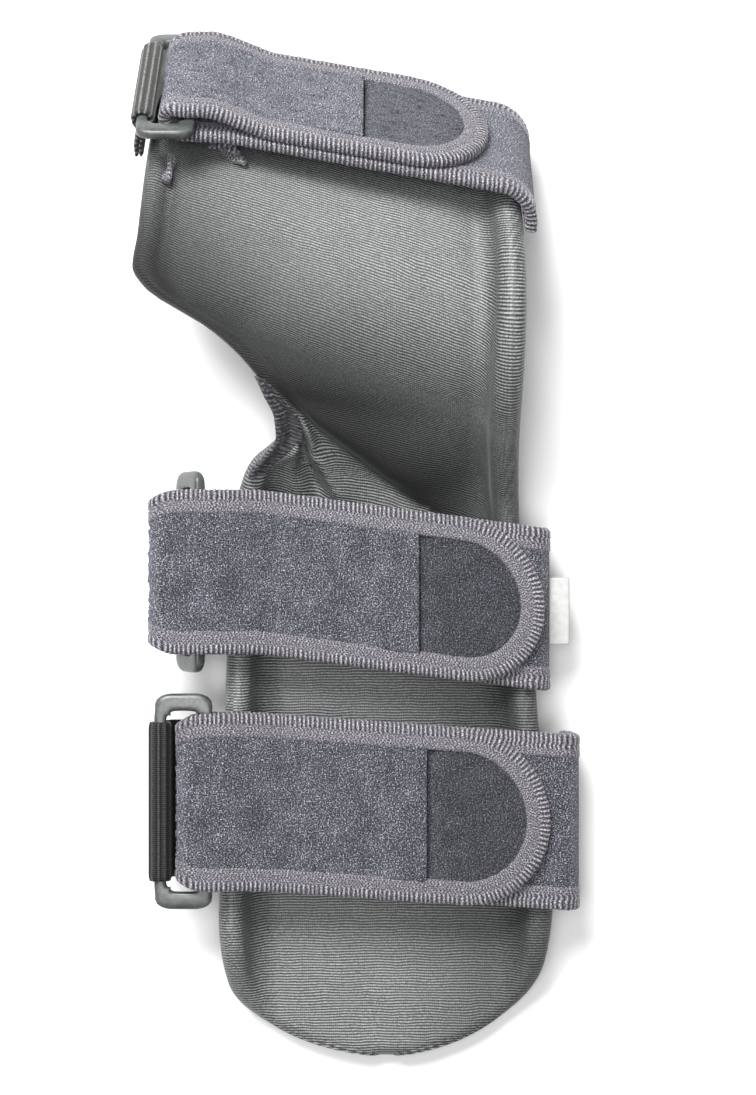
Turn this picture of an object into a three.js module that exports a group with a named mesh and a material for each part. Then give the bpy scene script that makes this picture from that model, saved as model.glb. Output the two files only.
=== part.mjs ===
// Resting hand splint: a padded trough that carries the forearm, wrist, palm and fingers,
// with three loop-pile straps that run through rings at the thumb side and end in rounded tabs.
// Millimetres. X runs across the hand with the thumb side negative, Y towards the fingertips,
// Z up from the table that the forearm floor and the fingertips rest on.
import * as THREE from 'three';

const { Vector2, Vector3 } = THREE;
const radians = THREE.MathUtils.degToRad;

// Padded shell, measured along its own surface from the forearm end to the fingertips.
const shellThickness = 8;
const forearmLength = 166;
const wristRadius = 36;
const wristExtension = radians(40);
const palmLength = 31;
const knuckleRadius = 40;
const fingerDrop = radians(17);
const fingerLength = 9;
const tipBendLength = 30;
const tipLength = 20;
const tipClearance = 0.2;

const forearmFloor = 34;
const wristFloor = 23.5;
const palmFloor = 25.5;
const thumbReach = 62;
const forearmWall = 27;
const handWall = 22;
const thumbWall = 15;
const bendRadius = 14;
const wallTilt = radians(72);
const thumbTilt = radians(32);
const handSlant = radians(19);
const rightEndRound = 62;
const leftEndRound = 48;
const fingerEndRound = 30;
const endRowInset = 0.4;
const foldDepth = 2.2;
const foldHalfWidth = 4;

// Thumb notch edge and the short seam tails.
const notchEdgeWidth = 6.5;
const notchEdgeThickness = 3.4;
const seamTailWidth = 3.2;
const seamTailThickness = 1.6;

// Straps, rings and webbing.
const seamGap = 0.3;
const strapThickness = 3;
const bindingThickness = 3.6;
const bindingWidth = 7.5;
const tabDrop = 1.1;
const forearmStrapWidth = 55;
const wristStrapWidth = 51;
const fingerStrapWidth = 50;
const strapLeg = 9;
const strapShoulder = 5;
const strapFall = 26;
const ringBar = 3.6;
const ringSlot = 11;
const ringCorner = 3.4;
const ringBevel = 1.05;
const ringEndPlay = 0.6;
const webbingThickness = 1.4;
const webbingInset = 3;
const webbingTail = 8;
const webbingBend = 3;
const labelLength = 21;
const labelReach = 6;
const labelThickness = 1;

const padRadius = shellThickness / 2;
const ringPitch = ringSlot + ringBar;
const barReach = Math.hypot(ringBar / 2, ringBar / 2 - ringBevel);

// Side profile: straight runs and bends, each with its length and the angle that it turns upwards.
function profileStretches(tipTurn) {
  return [
    { part: 'forearm', length: forearmLength, turn: 0 },
    { part: 'wrist', length: wristRadius * wristExtension, turn: wristExtension },
    { part: 'palm', length: palmLength, turn: 0 },
    { part: 'knuckles', length: knuckleRadius * (wristExtension + fingerDrop), turn: -wristExtension - fingerDrop },
    { part: 'fingers', length: fingerLength, turn: 0 },
    { part: 'fingertips', length: tipBendLength, turn: -tipTurn },
    { part: 'tip', length: tipLength, turn: 0 },
  ];
}

// Height, place and slope of the profile at a distance along it; past its ends it runs on straight.
function profileAt(stretches, distance) {
  let y = 0;
  let z = padRadius;
  let slope = 0;
  let left = distance;
  stretches.forEach((stretch, index) => {
    const last = index === stretches.length - 1;
    const length = last ? left : Math.min(left, stretch.length);
    const turn = (stretch.turn * length) / stretch.length;
    if (Math.abs(turn) < 1e-9) {
      y += length * Math.cos(slope);
      z += length * Math.sin(slope);
    } else {
      const radius = length / turn;
      y += radius * (Math.sin(slope + turn) - Math.sin(slope));
      z += radius * (Math.cos(slope) - Math.cos(slope + turn));
    }
    slope += turn;
    left -= length;
  });
  return { y, z, slope };
}

const handLength = profileStretches(0).slice(1).reduce((sum, stretch) => sum + stretch.length, 0);
const shellLength = forearmLength + handLength;
const handAt = (share) => forearmLength + handLength * share;

// Half sections on each side: floor is flat, wall is measured along the surface past the floor's edge,
// tilt is the angle at which the wall ends.
const rightSide = [
  { at: 0, floor: forearmFloor, wall: forearmWall, tilt: wallTilt },
  { at: forearmLength * 0.25, floor: forearmFloor, wall: forearmWall, tilt: wallTilt },
  { at: forearmLength * 0.68, floor: forearmFloor * 0.85, wall: forearmWall * 0.96, tilt: wallTilt },
  { at: handAt(0.15), floor: wristFloor, wall: handWall * 1.14, tilt: wallTilt },
  { at: handAt(0.35), floor: palmFloor * 0.91, wall: handWall * 1.05, tilt: wallTilt },
  { at: handAt(0.66), floor: palmFloor * 0.96, wall: handWall, tilt: wallTilt },
  { at: handAt(0.85), floor: palmFloor * 0.95, wall: handWall * 0.82, tilt: wallTilt * 0.92 },
  { at: handAt(1), floor: palmFloor * 0.95, wall: handWall * 0.55, tilt: wallTilt * 0.85 },
];
const leftSide = [
  { at: 0, floor: forearmFloor, wall: forearmWall, tilt: wallTilt },
  { at: forearmLength * 0.25, floor: forearmFloor, wall: forearmWall, tilt: wallTilt },
  { at: forearmLength * 0.68, floor: forearmFloor * 0.95, wall: forearmWall * 0.96, tilt: wallTilt },
  { at: forearmLength * 0.97, floor: wristFloor * 1.33, wall: handWall * 1.05, tilt: wallTilt },
  { at: handAt(0.07), floor: wristFloor * 1.25, wall: handWall * 0.86, tilt: wallTilt },
  { at: handAt(0.11), floor: wristFloor * 1.19, wall: thumbWall * 1.07, tilt: wallTilt },
  { at: handAt(0.15), floor: wristFloor * 1.04, wall: thumbWall * 0.85, tilt: wallTilt },
  { at: handAt(0.2), floor: wristFloor * 0.89, wall: thumbWall * 0.7, tilt: wallTilt },
  { at: handAt(0.24), floor: wristFloor * 0.92, wall: thumbWall * 0.7, tilt: wallTilt * 0.9 },
  { at: handAt(0.29), floor: thumbReach * 0.41, wall: thumbWall * 0.8, tilt: thumbTilt * 1.5 },
  { at: handAt(0.335), floor: thumbReach * 0.51, wall: thumbWall * 0.85, tilt: thumbTilt * 1.2 },
  { at: handAt(0.37), floor: thumbReach * 0.66, wall: thumbWall * 0.9, tilt: thumbTilt * 1.1 },
  { at: handAt(0.4), floor: thumbReach * 0.95, wall: thumbWall, tilt: thumbTilt },
  { at: handAt(0.43), floor: thumbReach * 1.02, wall: thumbWall, tilt: thumbTilt },
  { at: handAt(0.5), floor: thumbReach, wall: thumbWall, tilt: thumbTilt },
  { at: handAt(0.7), floor: thumbReach * 0.97, wall: thumbWall, tilt: thumbTilt },
  { at: handAt(1), floor: thumbReach * 0.93, wall: thumbWall, tilt: thumbTilt },
];

// Smooth reading of one column between the rows, without overshoot.
function readTable(rows, at, column) {
  const last = rows.length - 1;
  if (at <= rows[0].at) return rows[0][column];
  if (at >= rows[last].at) return rows[last][column];
  let index = 0;
  while (rows[index + 1].at < at) index += 1;
  const grade = (k) => (rows[k + 1][column] - rows[k][column]) / (rows[k + 1].at - rows[k].at);
  const tangent = (k) => {
    if (k === 0 || k === last) return 0;
    const before = grade(k - 1);
    const after = grade(k);
    return before * after > 0 ? (2 * before * after) / (before + after) : 0;
  };
  const span = rows[index + 1].at - rows[index].at;
  const u = (at - rows[index].at) / span;
  const rise = rows[index + 1][column] - rows[index][column];
  const start = tangent(index) * span;
  const end = tangent(index + 1) * span;
  return rows[index][column] + start * u + (3 * rise - 2 * start - end) * u ** 2 + (start + end - 2 * rise) * u ** 3;
}

// Share of the full width that is left near each rounded end.
function endRounding(at, forearmEndRound) {
  const forearmShare = Math.min(at / forearmEndRound, 1);
  const fingerShare = Math.min((shellLength - at) / fingerEndRound, 1);
  const forearmRound = Math.sqrt(1 - (1 - forearmShare) ** 2);
  const fingerRound = Math.cbrt(1 - (1 - fingerShare) ** 3);
  return forearmRound * fingerRound;
}

function sideWidth(rows, at) {
  const endRound = rows === leftSide ? leftEndRound : rightEndRound;
  return (readTable(rows, at, 'floor') + readTable(rows, at, 'wall')) * endRounding(at, endRound);
}

// A point of the shell: station along it, distance across its surface from the axis, height above
// its middle layer. The stations of the hand slant, because the little finger side is shorter.
function shellPoint(stretches, station, across, height) {
  const side = across < 0 ? -1 : 1;
  const rows = across < 0 ? leftSide : rightSide;
  const floor = readTable(rows, station, 'floor');
  const tilt = readTable(rows, station, 'tilt');
  const beyond = Math.max(Math.abs(across) - floor, 0);
  const bent = Math.min(beyond, bendRadius * tilt);
  const angle = bent / bendRadius;
  const straight = beyond - bent;
  const sideways = side * (Math.min(Math.abs(across), floor) + bendRadius * Math.sin(angle) + straight * Math.cos(angle));
  const lift = bendRadius * (1 - Math.cos(angle)) + straight * Math.sin(angle);
  const slanted = THREE.MathUtils.smoothstep(station, forearmLength * 0.8, handAt(0.12));
  const base = profileAt(stretches, station - Math.tan(handSlant) * sideways * slanted);
  const up = new Vector3(0, -Math.sin(base.slope), Math.cos(base.slope));
  const normal = up.clone().multiplyScalar(Math.cos(angle)).setX(-side * Math.sin(angle));
  return new Vector3(sideways, base.y, base.z).addScaledVector(up, lift).addScaledVector(normal, height);
}

// Stations and columns lie closer together at the rounded rim and the rounded ends.
const rimSteps = [0, 0.15, 0.5, 1, 1.9].map((share) => share * padRadius);
const endSteps = [0, 0.15, 0.5, 1, 1.7, 2.6, 3.8, 5.2].map((share) => share * padRadius);

function spacedFromEnds(from, to, steps, count) {
  const squeeze = Math.min(1, (to - from) / (3 * steps.at(-1)));
  const near = steps.map((step) => step * squeeze);
  const innerFrom = from + near.at(-1);
  const innerTo = to - near.at(-1);
  const middle = Array.from({ length: count - 1 }, (_, k) => innerFrom + ((innerTo - innerFrom) * (k + 1)) / count);
  return [...near.map((step) => from + step), ...middle, ...near.map((step) => to - step).reverse()];
}

const shellRows = 44;
const shellColumns = 16;
const shellStations = spacedFromEnds(endRowInset, shellLength - endRowInset, endSteps, shellRows);

// Main folds of the cover, which fan out from the thumb notch. Both ends are shares of the hand's length and
// of the wrist floor, width and height are shares of foldHalfWidth and foldDepth.
const coverFolds = [
  { at: 0.2, across: -0.86, endAt: 0.03, endAcross: -0.5, width: 0.9, height: -1 },
  { at: 0.22, across: -0.8, endAt: 0.04, endAcross: -0.15, width: 1.1, height: 0.9 },
  { at: 0.25, across: -0.9, endAt: 0.1, endAcross: 0.5, width: 1.2, height: -0.5 },
];

// Each fold falls off as a bell to both sides of its line and smoothly to nothing past its ends.
function foldHeight(station, across) {
  return coverFolds.reduce((sum, fold) => {
    const start = new Vector2(handAt(fold.at), wristFloor * fold.across);
    const run = new Vector2(handAt(fold.endAt), wristFloor * fold.endAcross).sub(start);
    const offset = new Vector2(station, across).sub(start);
    const share = offset.dot(run) / run.lengthSq();
    const aside = Math.abs(offset.cross(run)) / run.length();
    const taper = THREE.MathUtils.smoothstep(share, -0.15, 0.15) * (1 - THREE.MathUtils.smoothstep(share, 0.8, 1.3));
    return sum + fold.height * foldDepth * taper * Math.exp(-((aside / (fold.width * foldHalfWidth)) ** 2));
  }, 0);
}

// Upper and lower layer of the padding. Their distance falls to nothing on the rim along a circle.
function shellLayers(tipTurn) {
  const stretches = profileStretches(tipTurn);
  const grid = shellStations.map((station) => {
    const left = sideWidth(leftSide, station);
    const right = sideWidth(rightSide, station);
    return spacedFromEnds(-left, right, rimSteps, shellColumns).map((across) => ({ station, across }));
  });
  const middle = grid.map((row) => row.map((cell) => shellPoint(stretches, cell.station, cell.across, 0)));
  const rim = [...middle[0], ...middle.at(-1), ...middle.map((row) => row[0]), ...middle.map((row) => row.at(-1))];
  const layer = (side) => grid.map((row, i) => row.map((cell, j) => {
    const toRim = rim.reduce((least, point) => Math.min(least, point.distanceTo(middle[i][j])), padRadius);
    const height = Math.sqrt(padRadius ** 2 - (padRadius - toRim) ** 2);
    const fold = side > 0 ? (foldHeight(cell.station, cell.across) * height) / padRadius : 0;
    return shellPoint(stretches, cell.station, cell.across, side * height + fold);
  }));
  return { upper: layer(1), lower: layer(-1) };
}

// The last bend is turned until the fingertips come down to the table.
function solveTipTurn() {
  const halvings = 16;
  let low = 0;
  let high = Math.PI / 2 - wristExtension;
  for (let pass = 0; pass < halvings; pass += 1) {
    const turn = (low + high) / 2;
    const lowest = Math.min(...shellLayers(turn).lower.slice(-shellRows / 2).flat().map((point) => point.z));
    if (lowest > tipClearance) low = turn;
    else high = turn;
  }
  return low;
}

const tipTurn = solveTipTurn();
const profile = profileStretches(tipTurn);
const shell = shellLayers(tipTurn);
const onShell = (station, across, height) => shellPoint(profile, station, across, height);

// Geometry from loose triangles, turned so that its faces point outwards.
function solidFrom(triangles) {
  const volume = triangles.reduce((sum, [a, b, c]) => sum + a.dot(b.clone().cross(c)), 0);
  const facing = volume > 0 ? triangles : triangles.map(([a, b, c]) => [a, c, b]);
  return new THREE.BufferGeometry().setFromPoints(facing.flat());
}

function gridTriangles(grid, flip) {
  const triangles = [];
  for (let i = 0; i + 1 < grid.length; i += 1) {
    for (let j = 0; j + 1 < grid[i].length; j += 1) {
      const [a, b, c, d] = [grid[i][j], grid[i][j + 1], grid[i + 1][j + 1], grid[i + 1][j]];
      if (flip) triangles.push([a, c, b], [a, d, c]);
      else triangles.push([a, b, c], [a, c, d]);
    }
  }
  return triangles;
}

// A solid between sections that each hold the same closed, convex ring of points.
function loft(sections) {
  const closed = sections.map((section) => [...section, section[0]]);
  const triangles = gridTriangles(closed, false);
  const first = sections[0];
  const last = sections.at(-1);
  for (let k = 1; k + 1 < first.length; k += 1) {
    triangles.push([first[0], first[k + 1], first[k]]);
    triangles.push([last[0], last[k], last[k + 1]]);
  }
  return solidFrom(triangles);
}

// Colours and finish.
const knitCloth = { color: 0x3c3f41, roughness: 0.78, metalness: 0 };
const pileCloth = { color: 0x32343b, roughness: 0.95, metalness: 0 };
const bindingCloth = { color: 0x4a464c, roughness: 0.85, metalness: 0 };
const webbingCloth = { color: 0x24261f, roughness: 0.8, metalness: 0 };
const blackPlastic = { color: 0x2b2e2e, roughness: 0.35, metalness: 0 };
const labelCloth = { color: 0xf2f2f0, roughness: 0.8, metalness: 0 };

const splint = new THREE.Group();

function addPiece(name, geometry, finish) {
  const piece = new THREE.Mesh(geometry, new THREE.MeshStandardMaterial(finish));
  piece.name = name;
  splint.add(piece);
  return piece;
}

function addShell() {
  const triangles = [...gridTriangles(shell.upper, false), ...gridTriangles(shell.lower, true)];
  addPiece('padded_shell', solidFrom(triangles), knitCloth);
}

// Overlocked edge of the thumb notch: a crescent that runs on from the rim, widest in its middle.
function addNotchEdge() {
  const from = handAt(0.09);
  const to = handAt(0.32);
  const tipShare = 0.15;
  const flatShare = 0.6;
  const edgeShare = 0.3;
  const half = notchEdgeThickness / 2;
  const sections = shellStations.filter((station) => station > from && station < to).map((station) => {
    const inner = sideWidth(leftSide, station) + seamGap;
    const swell = Math.sin((Math.PI * (station - from)) / (to - from));
    const width = notchEdgeWidth * (tipShare + (1 - tipShare) * swell);
    const ring = [
      [0, half], [width * flatShare, half], [width, half * edgeShare],
      [width, -half * edgeShare], [width * flatShare, -half], [0, -half],
    ];
    return ring.map(([out, height]) => onShell(station, -inner - out, height));
  });
  addPiece('thumb_notch_edge', loft(sections), bindingCloth);
}

// Short ends of the cover seam that lie on the pan beside the finger strap. Both ends of each are shares
// of the hand's length and of the reach of the pan on the thumb side.
const seamTails = [
  { name: 'seam_tail', at: 0.742, across: -0.887, endAt: 0.716, endAcross: -0.7 },
  { name: 'edge_seam_tail', at: 0.672, across: -1.12, endAt: 0.607, endAcross: -1.15 },
];

function addSeamTails() {
  const steps = 8;
  const narrowest = 0.55;
  const half = seamTailThickness / 2;
  const middle = padRadius + seamGap + half;
  for (const tail of seamTails) {
    const start = new Vector2(handAt(tail.at), thumbReach * tail.across);
    const run = new Vector2(handAt(tail.endAt), thumbReach * tail.endAcross).sub(start);
    const aside = new Vector2(-run.y, run.x).normalize();
    const sections = Array.from({ length: steps + 1 }, (_, k) => {
      const share = k / steps;
      const width = seamTailWidth * (narrowest + (1 - narrowest) * Math.sin(Math.PI * share));
      const ring = [[-width / 2, half], [width / 2, half], [width / 2, -half], [-width / 2, -half]];
      return ring.map(([side, height]) => {
        const place = start.clone().addScaledVector(run, share).addScaledVector(aside, side);
        return onShell(place.x, place.y, middle + height);
      });
    });
    addPiece(tail.name, loft(sections), bindingCloth);
  }
}

// A rounded path through corners in the plane of a strap's section, x along it and y up.
function roundedPath(corners, steps) {
  const path = [];
  corners.forEach((corner, index) => {
    if (!corner.radius) {
      path.push(corner.point);
      return;
    }
    const before = corners[index - 1].point.clone().sub(corner.point).normalize();
    const after = corners[index + 1].point.clone().sub(corner.point).normalize();
    if (before.dot(after) < -0.9999) return;
    const half = Math.acos(before.dot(after)) / 2;
    const reach = corner.radius / Math.tan(half);
    const start = corner.point.clone().addScaledVector(before, reach);
    const end = corner.point.clone().addScaledVector(after, reach);
    const bisector = before.clone().add(after).normalize();
    const centre = corner.point.clone().addScaledVector(bisector, corner.radius / Math.sin(half));
    const first = start.clone().sub(centre).angle();
    let sweep = end.clone().sub(centre).angle() - first;
    if (sweep > Math.PI) sweep -= 2 * Math.PI;
    if (sweep < -Math.PI) sweep += 2 * Math.PI;
    for (let k = 0; k <= steps; k += 1) {
      const angle = first + (sweep * k) / steps;
      path.push(new Vector2(Math.cos(angle), Math.sin(angle)).multiplyScalar(corner.radius).add(centre));
    }
  });
  return path;
}

// A band that follows a path: reads its place and upward normal at any distance along it.
function ribbonAlong(path) {
  const distances = [0];
  path.forEach((point, k) => {
    if (k > 0) distances.push(distances[k - 1] + point.distanceTo(path[k - 1]));
  });
  const direction = (k) => path[k + 1].clone().sub(path[k]).normalize();
  const last = path.length - 1;
  const normals = path.map((_, k) => {
    const before = direction(Math.max(k - 1, 0));
    const after = direction(Math.min(k, last - 1));
    const mean = before.clone().add(after).normalize();
    const spread = 1 / Math.max(mean.dot(after), 0.5);
    return new Vector2(-mean.y, mean.x).multiplyScalar(-spread);
  });
  const at = (distance) => {
    let k = 0;
    while (k < last - 1 && distances[k + 1] < distance) k += 1;
    const share = (distance - distances[k]) / (distances[k + 1] - distances[k]);
    return {
      point: path[k].clone().lerp(path[k + 1], share),
      normal: normals[k].clone().lerp(normals[k + 1], share),
    };
  };
  return { distances, length: distances[last], at };
}

// Where each strap lies. station is on the forearm axis, tilt leans it with the finger slope, slant is its
// run across the arm. ringReach is from the left rim to the strap's turn, positive outside the splint, slack
// from there in to the ring's inner bar, and droop is how far the ring hangs down. sideTilt is how steeply the
// strap's leg and the webbing's tail lie against the sides, stand is the leg's distance from the wall. tab and
// step are the places of the tab's tip and of its upper end, as shares of the way to the right rim. Left of
// slantFrom, where the ring is, the strap runs straight across.
const straps = [
  {
    name: 'forearm', width: forearmStrapWidth, station: forearmLength * 0.489, tilt: 0, slant: radians(4),
    ringReach: 7, slack: 4, droop: 0, tab: 0.97, step: 0.24, sideTilt: wallTilt, stand: 4, shoulder: strapShoulder,
    leg: strapLeg, tail: webbingTail, slantFrom: -forearmFloor * 1.3,
  },
  {
    name: 'wrist', width: wristStrapWidth, station: forearmLength * 0.905, tilt: 0, slant: radians(7.5),
    ringReach: 18, slack: 10, droop: radians(64), tab: 1.04, step: 0.22, sideTilt: wallTilt, stand: 0,
    shoulder: strapShoulder, leg: strapLeg, tail: webbingTail * 0.6, slantFrom: -wristFloor * 1.7,
  },
  {
    name: 'finger', width: fingerStrapWidth, station: handAt(0.875), tilt: radians(49), slant: radians(14.5),
    ringReach: -11, slack: 4, droop: 0, tab: 0.75, step: -0.17, sideTilt: radians(90), stand: 0,
    shoulder: strapShoulder * 2, leg: strapLeg * 0.35, tail: webbingTail * 0.3, slantFrom: -thumbReach * 0.8,
  },
];

// Moves a point of a strap's own plane (x along it, y across it, z up) onto the splint, and back.
function strapFrame(strap) {
  const origin = onShell(strap.station, 0, 0);
  const along = new Vector3(0, Math.cos(strap.tilt), -Math.sin(strap.tilt));
  const up = new Vector3(0, Math.sin(strap.tilt), Math.cos(strap.tilt));
  const slide = (x) => Math.tan(strap.slant) * Math.max(x, strap.slantFrom);
  const place = (x, y, z) => origin.clone()
    .add(new Vector3(x, 0, 0))
    .addScaledVector(along, y - slide(x))
    .addScaledVector(up, z);
  const read = (point) => {
    const offset = point.clone().sub(origin);
    return new Vector3(offset.x, offset.dot(along) + slide(offset.x), offset.dot(up));
  };
  const band = strap.width / 2 + padRadius;
  const under = [...shell.upper, ...shell.lower].flat().map(read).filter((point) => Math.abs(point.y) < band);
  const left = Math.min(...under.map((point) => point.x));
  const right = Math.max(...under.map((point) => point.x));
  const top = Math.max(...under.map((point) => point.z));
  const rightTop = Math.max(...under.filter((point) => point.x > right / 2).map((point) => point.z));
  return { place, left, right, top, rightTop };
}

// The strap's line: up the outside of the right wall, across, round the ring's inner bar and back on top.
// It comes down towards the right where the right rim is lower than the left one.
function strapLayout(strap) {
  const frame = strapFrame(strap);
  const half = bindingThickness / 2;
  const low = frame.top + seamGap + half;
  const turnRadius = barReach + seamGap + half;
  const turn = new Vector2(frame.left - strap.ringReach, low + turnRadius);
  const inner = turn.clone().setX(turn.x + strap.slack);
  const outer = inner.clone().sub(new Vector2(Math.cos(strap.droop), Math.sin(strap.droop)).multiplyScalar(ringPitch));
  const legTop = frame.right + seamGap + half + strap.stand;
  const rightDrop = 0.85 * (frame.top - frame.rightTop);
  const dropTo = (x) => (rightDrop * (x - turn.x)) / (legTop - turn.x);
  const wallDepth = padRadius * (Math.sin(strap.sideTilt) + Math.cos(strap.sideTilt)) + seamGap + half;
  const leanBy = (depth) => (wallDepth - depth) / Math.tan(strap.sideTilt);
  const legDepth = strap.shoulder + strap.leg;
  const over = turn.y + turnRadius;
  const rest = low + bindingThickness + seamGap;
  const tabEnd = frame.right * strap.tab;
  const fallBend = strapFall * 0.4;
  const fallFrom = inner.x + strapFall * 0.2;
  const fallTo = fallFrom + strapFall * 0.7;
  const bendSteps = 6;
  const fallSteps = 3;
  const turnSteps = 8;
  const corner = (x, y, radius) => ({ point: new Vector2(x, y), radius });
  const path = roundedPath([
    corner(legTop + leanBy(legDepth), low - rightDrop - legDepth),
    corner(legTop + leanBy(0), low - rightDrop, strap.shoulder),
    corner(strap.slantFrom, low - dropTo(strap.slantFrom)),
    corner(turn.x, low),
  ], bendSteps);
  for (let k = 1; k <= turnSteps; k += 1) {
    const angle = -Math.PI / 2 - (Math.PI * k) / turnSteps;
    path.push(new Vector2(Math.cos(angle), Math.sin(angle)).multiplyScalar(turnRadius).add(turn));
  }
  path.push(...roundedPath([
    corner(turn.x, over),
    corner(fallFrom, over, fallBend),
    corner(fallTo, rest - dropTo(fallTo), fallBend),
    corner(tabEnd, rest - dropTo(tabEnd)),
  ], fallSteps).slice(1));
  const ribbon = ribbonAlong(path);
  const stepAt = ribbon.length - (tabEnd - frame.right * strap.step);
  return { strap, frame, low, inner, outer, ribbon, stepAt };
}

// A point of the strap by distance along it, across it and away from its middle layer, positive towards the
// side that faces up on the lower layer, and so down on the upper one.
function strapPoint(layout, distance, across, height) {
  const { point, normal } = layout.ribbon.at(distance);
  return layout.frame.place(point.x + normal.x * height, across, point.y + normal.y * height);
}

// The strap's field of loop pile, and the thinner tab that goes on from it.
function addStrap(layout) {
  const { strap, ribbon, stepAt } = layout;
  const side = strap.width / 2 - bindingWidth - seamGap;
  const half = strapThickness / 2;
  const stops = [...ribbon.distances.filter((distance) => distance < stepAt - 1), stepAt];
  const section = (distance, width, face) => [
    strapPoint(layout, distance, -width, half),
    strapPoint(layout, distance, width, half),
    strapPoint(layout, distance, width, face),
    strapPoint(layout, distance, -width, face),
  ];
  addPiece(`${strap.name}_strap`, loft(stops.map((distance) => section(distance, side, -half))), pileCloth);

  const roundCentre = ribbon.length - strap.width / 2;
  const roundSteps = 8;
  const roundTo = radians(86);
  const tabFace = tabDrop - half;
  const tabSections = [section(stepAt + seamGap, side, tabFace)];
  for (let k = 0; k <= roundSteps; k += 1) {
    const angle = (roundTo * k) / roundSteps;
    tabSections.push(section(roundCentre + side * Math.sin(angle), side * Math.cos(angle), tabFace));
  }
  addPiece(`${strap.name}_tab`, loft(tabSections), pileCloth);
}

// The binding follows one edge to the tab, goes round it and comes back along the other edge.
function addBinding(layout) {
  const { strap, ribbon } = layout;
  const half = bindingThickness / 2;
  const round = half * 0.6;
  const inner = strap.width / 2 - bindingWidth;
  const ring = [
    [0, half], [bindingWidth - round, half], [bindingWidth, half - round],
    [bindingWidth, round - half], [bindingWidth - round, -half], [0, -half],
  ];
  const roundCentre = ribbon.length - strap.width / 2;
  const stops = ribbon.distances.filter((distance) => distance < roundCentre - 1);
  const edge = (side) => stops.map((distance) => ring.map(
    ([out, height]) => strapPoint(layout, distance, side * (inner + out), height),
  ));
  const roundEnd = [];
  const roundSteps = 14;
  for (let k = 0; k <= roundSteps; k += 1) {
    const angle = -Math.PI / 2 + (Math.PI * k) / roundSteps;
    roundEnd.push(ring.map(([out, height]) => strapPoint(
      layout,
      roundCentre + (inner + out) * Math.cos(angle),
      (inner + out) * Math.sin(angle),
      height,
    )));
  }
  addPiece(`${strap.name}_strap_binding`, loft([...edge(-1), ...roundEnd, ...edge(1).reverse()]), bindingCloth);
}

function roundedRectangle(shape, width, height, radius) {
  const x = width / 2;
  const y = height / 2;
  shape.moveTo(-x + radius, -y);
  shape.lineTo(x - radius, -y);
  shape.absarc(x - radius, -y + radius, radius, -Math.PI / 2, 0);
  shape.lineTo(x, y - radius);
  shape.absarc(x - radius, y - radius, radius, 0, Math.PI / 2);
  shape.lineTo(-x + radius, y);
  shape.absarc(-x + radius, y - radius, radius, Math.PI / 2, Math.PI);
  shape.lineTo(-x, -y + radius);
  shape.absarc(-x + radius, -y + radius, radius, Math.PI, Math.PI * 1.5);
  return shape;
}

// Turns a piece that is made flat round its own middle into the strap's plane.
function seatInFrame(piece, layout, place) {
  const { strap, frame } = layout;
  piece.position.copy(frame.place(place.x, 0, place.y));
  piece.rotation.x = -strap.tilt;
}

function addRing(layout) {
  const { strap, inner, outer } = layout;
  const innerLength = strap.width + 2 * ringEndPlay;
  const outline = new THREE.Shape();
  roundedRectangle(outline, ringPitch + ringBar - 2 * ringBevel, innerLength + 2 * ringBar - 2 * ringBevel, ringCorner);
  outline.holes.push(roundedRectangle(new THREE.Path(), ringSlot + 2 * ringBevel, innerLength + 2 * ringBevel, ringCorner / 2));
  const geometry = new THREE.ExtrudeGeometry(outline, {
    depth: ringBar - 2 * ringBevel, bevelSize: ringBevel, bevelThickness: ringBevel, bevelSegments: 1, curveSegments: 3,
  });
  geometry.translate(0, 0, ringBevel - ringBar / 2);
  geometry.rotateY(-strap.droop);
  const ring = addPiece(`${strap.name}_ring`, geometry, blackPlastic);
  seatInFrame(ring, layout, inner.clone().lerp(outer, 0.5));
}

// Webbing folded round the ring's outer bar, with its doubled tail sewn to the left wall.
function addWebbing(layout) {
  const { strap, frame, low, outer } = layout;
  const outside = frame.left - seamGap - webbingThickness;
  const lean = Math.cos(strap.sideTilt) * strap.tail;
  const knee = new Vector2(
    Math.min(outer.x + ringBar / 2, outside),
    Math.min(low - strapShoulder, outer.y - ringBar),
  );
  const bendSteps = 3;
  const loopSteps = 12;
  const tail = roundedPath([
    { point: new Vector2(outside + lean, knee.y - strap.tail * 1.4) },
    { point: new Vector2(outside, knee.y - strap.tail * 0.4), radius: webbingBend },
    { point: knee, radius: webbingBend },
    { point: outer },
  ], bendSteps);
  const ribbon = ribbonAlong(tail);
  const loopRadius = barReach + seamGap + webbingThickness;
  const stops = ribbon.distances.filter((distance) => distance < ribbon.length - loopRadius - 1);
  const offset = (side) => stops.map((distance) => {
    const { point, normal } = ribbon.at(distance);
    return point.addScaledVector(normal, side * webbingThickness);
  });
  const approach = tail.at(-2).clone().sub(outer).angle();
  const opening = Math.asin(webbingThickness / loopRadius);
  const outline = [...offset(-1)];
  for (let k = 0; k <= loopSteps; k += 1) {
    const angle = approach - opening - ((2 * Math.PI - 2 * opening) * k) / loopSteps;
    outline.push(new Vector2(Math.cos(angle), Math.sin(angle)).multiplyScalar(loopRadius).add(outer));
  }
  outline.push(...offset(1).reverse());
  const shape = new THREE.Shape(outline.map((point) => point.clone().sub(outer)));
  shape.holes.push(new THREE.Path().absarc(0, 0, loopRadius - webbingThickness, 0, 2 * Math.PI));
  const width = strap.width - 2 * webbingInset;
  const geometry = new THREE.ExtrudeGeometry(shape, { depth: width, bevelEnabled: false, curveSegments: 8 });
  geometry.translate(0, 0, -width / 2);
  geometry.rotateX(Math.PI / 2);
  const webbing = addPiece(`${strap.name}_webbing`, geometry, webbingCloth);
  seatInFrame(webbing, layout, outer);
}

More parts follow.
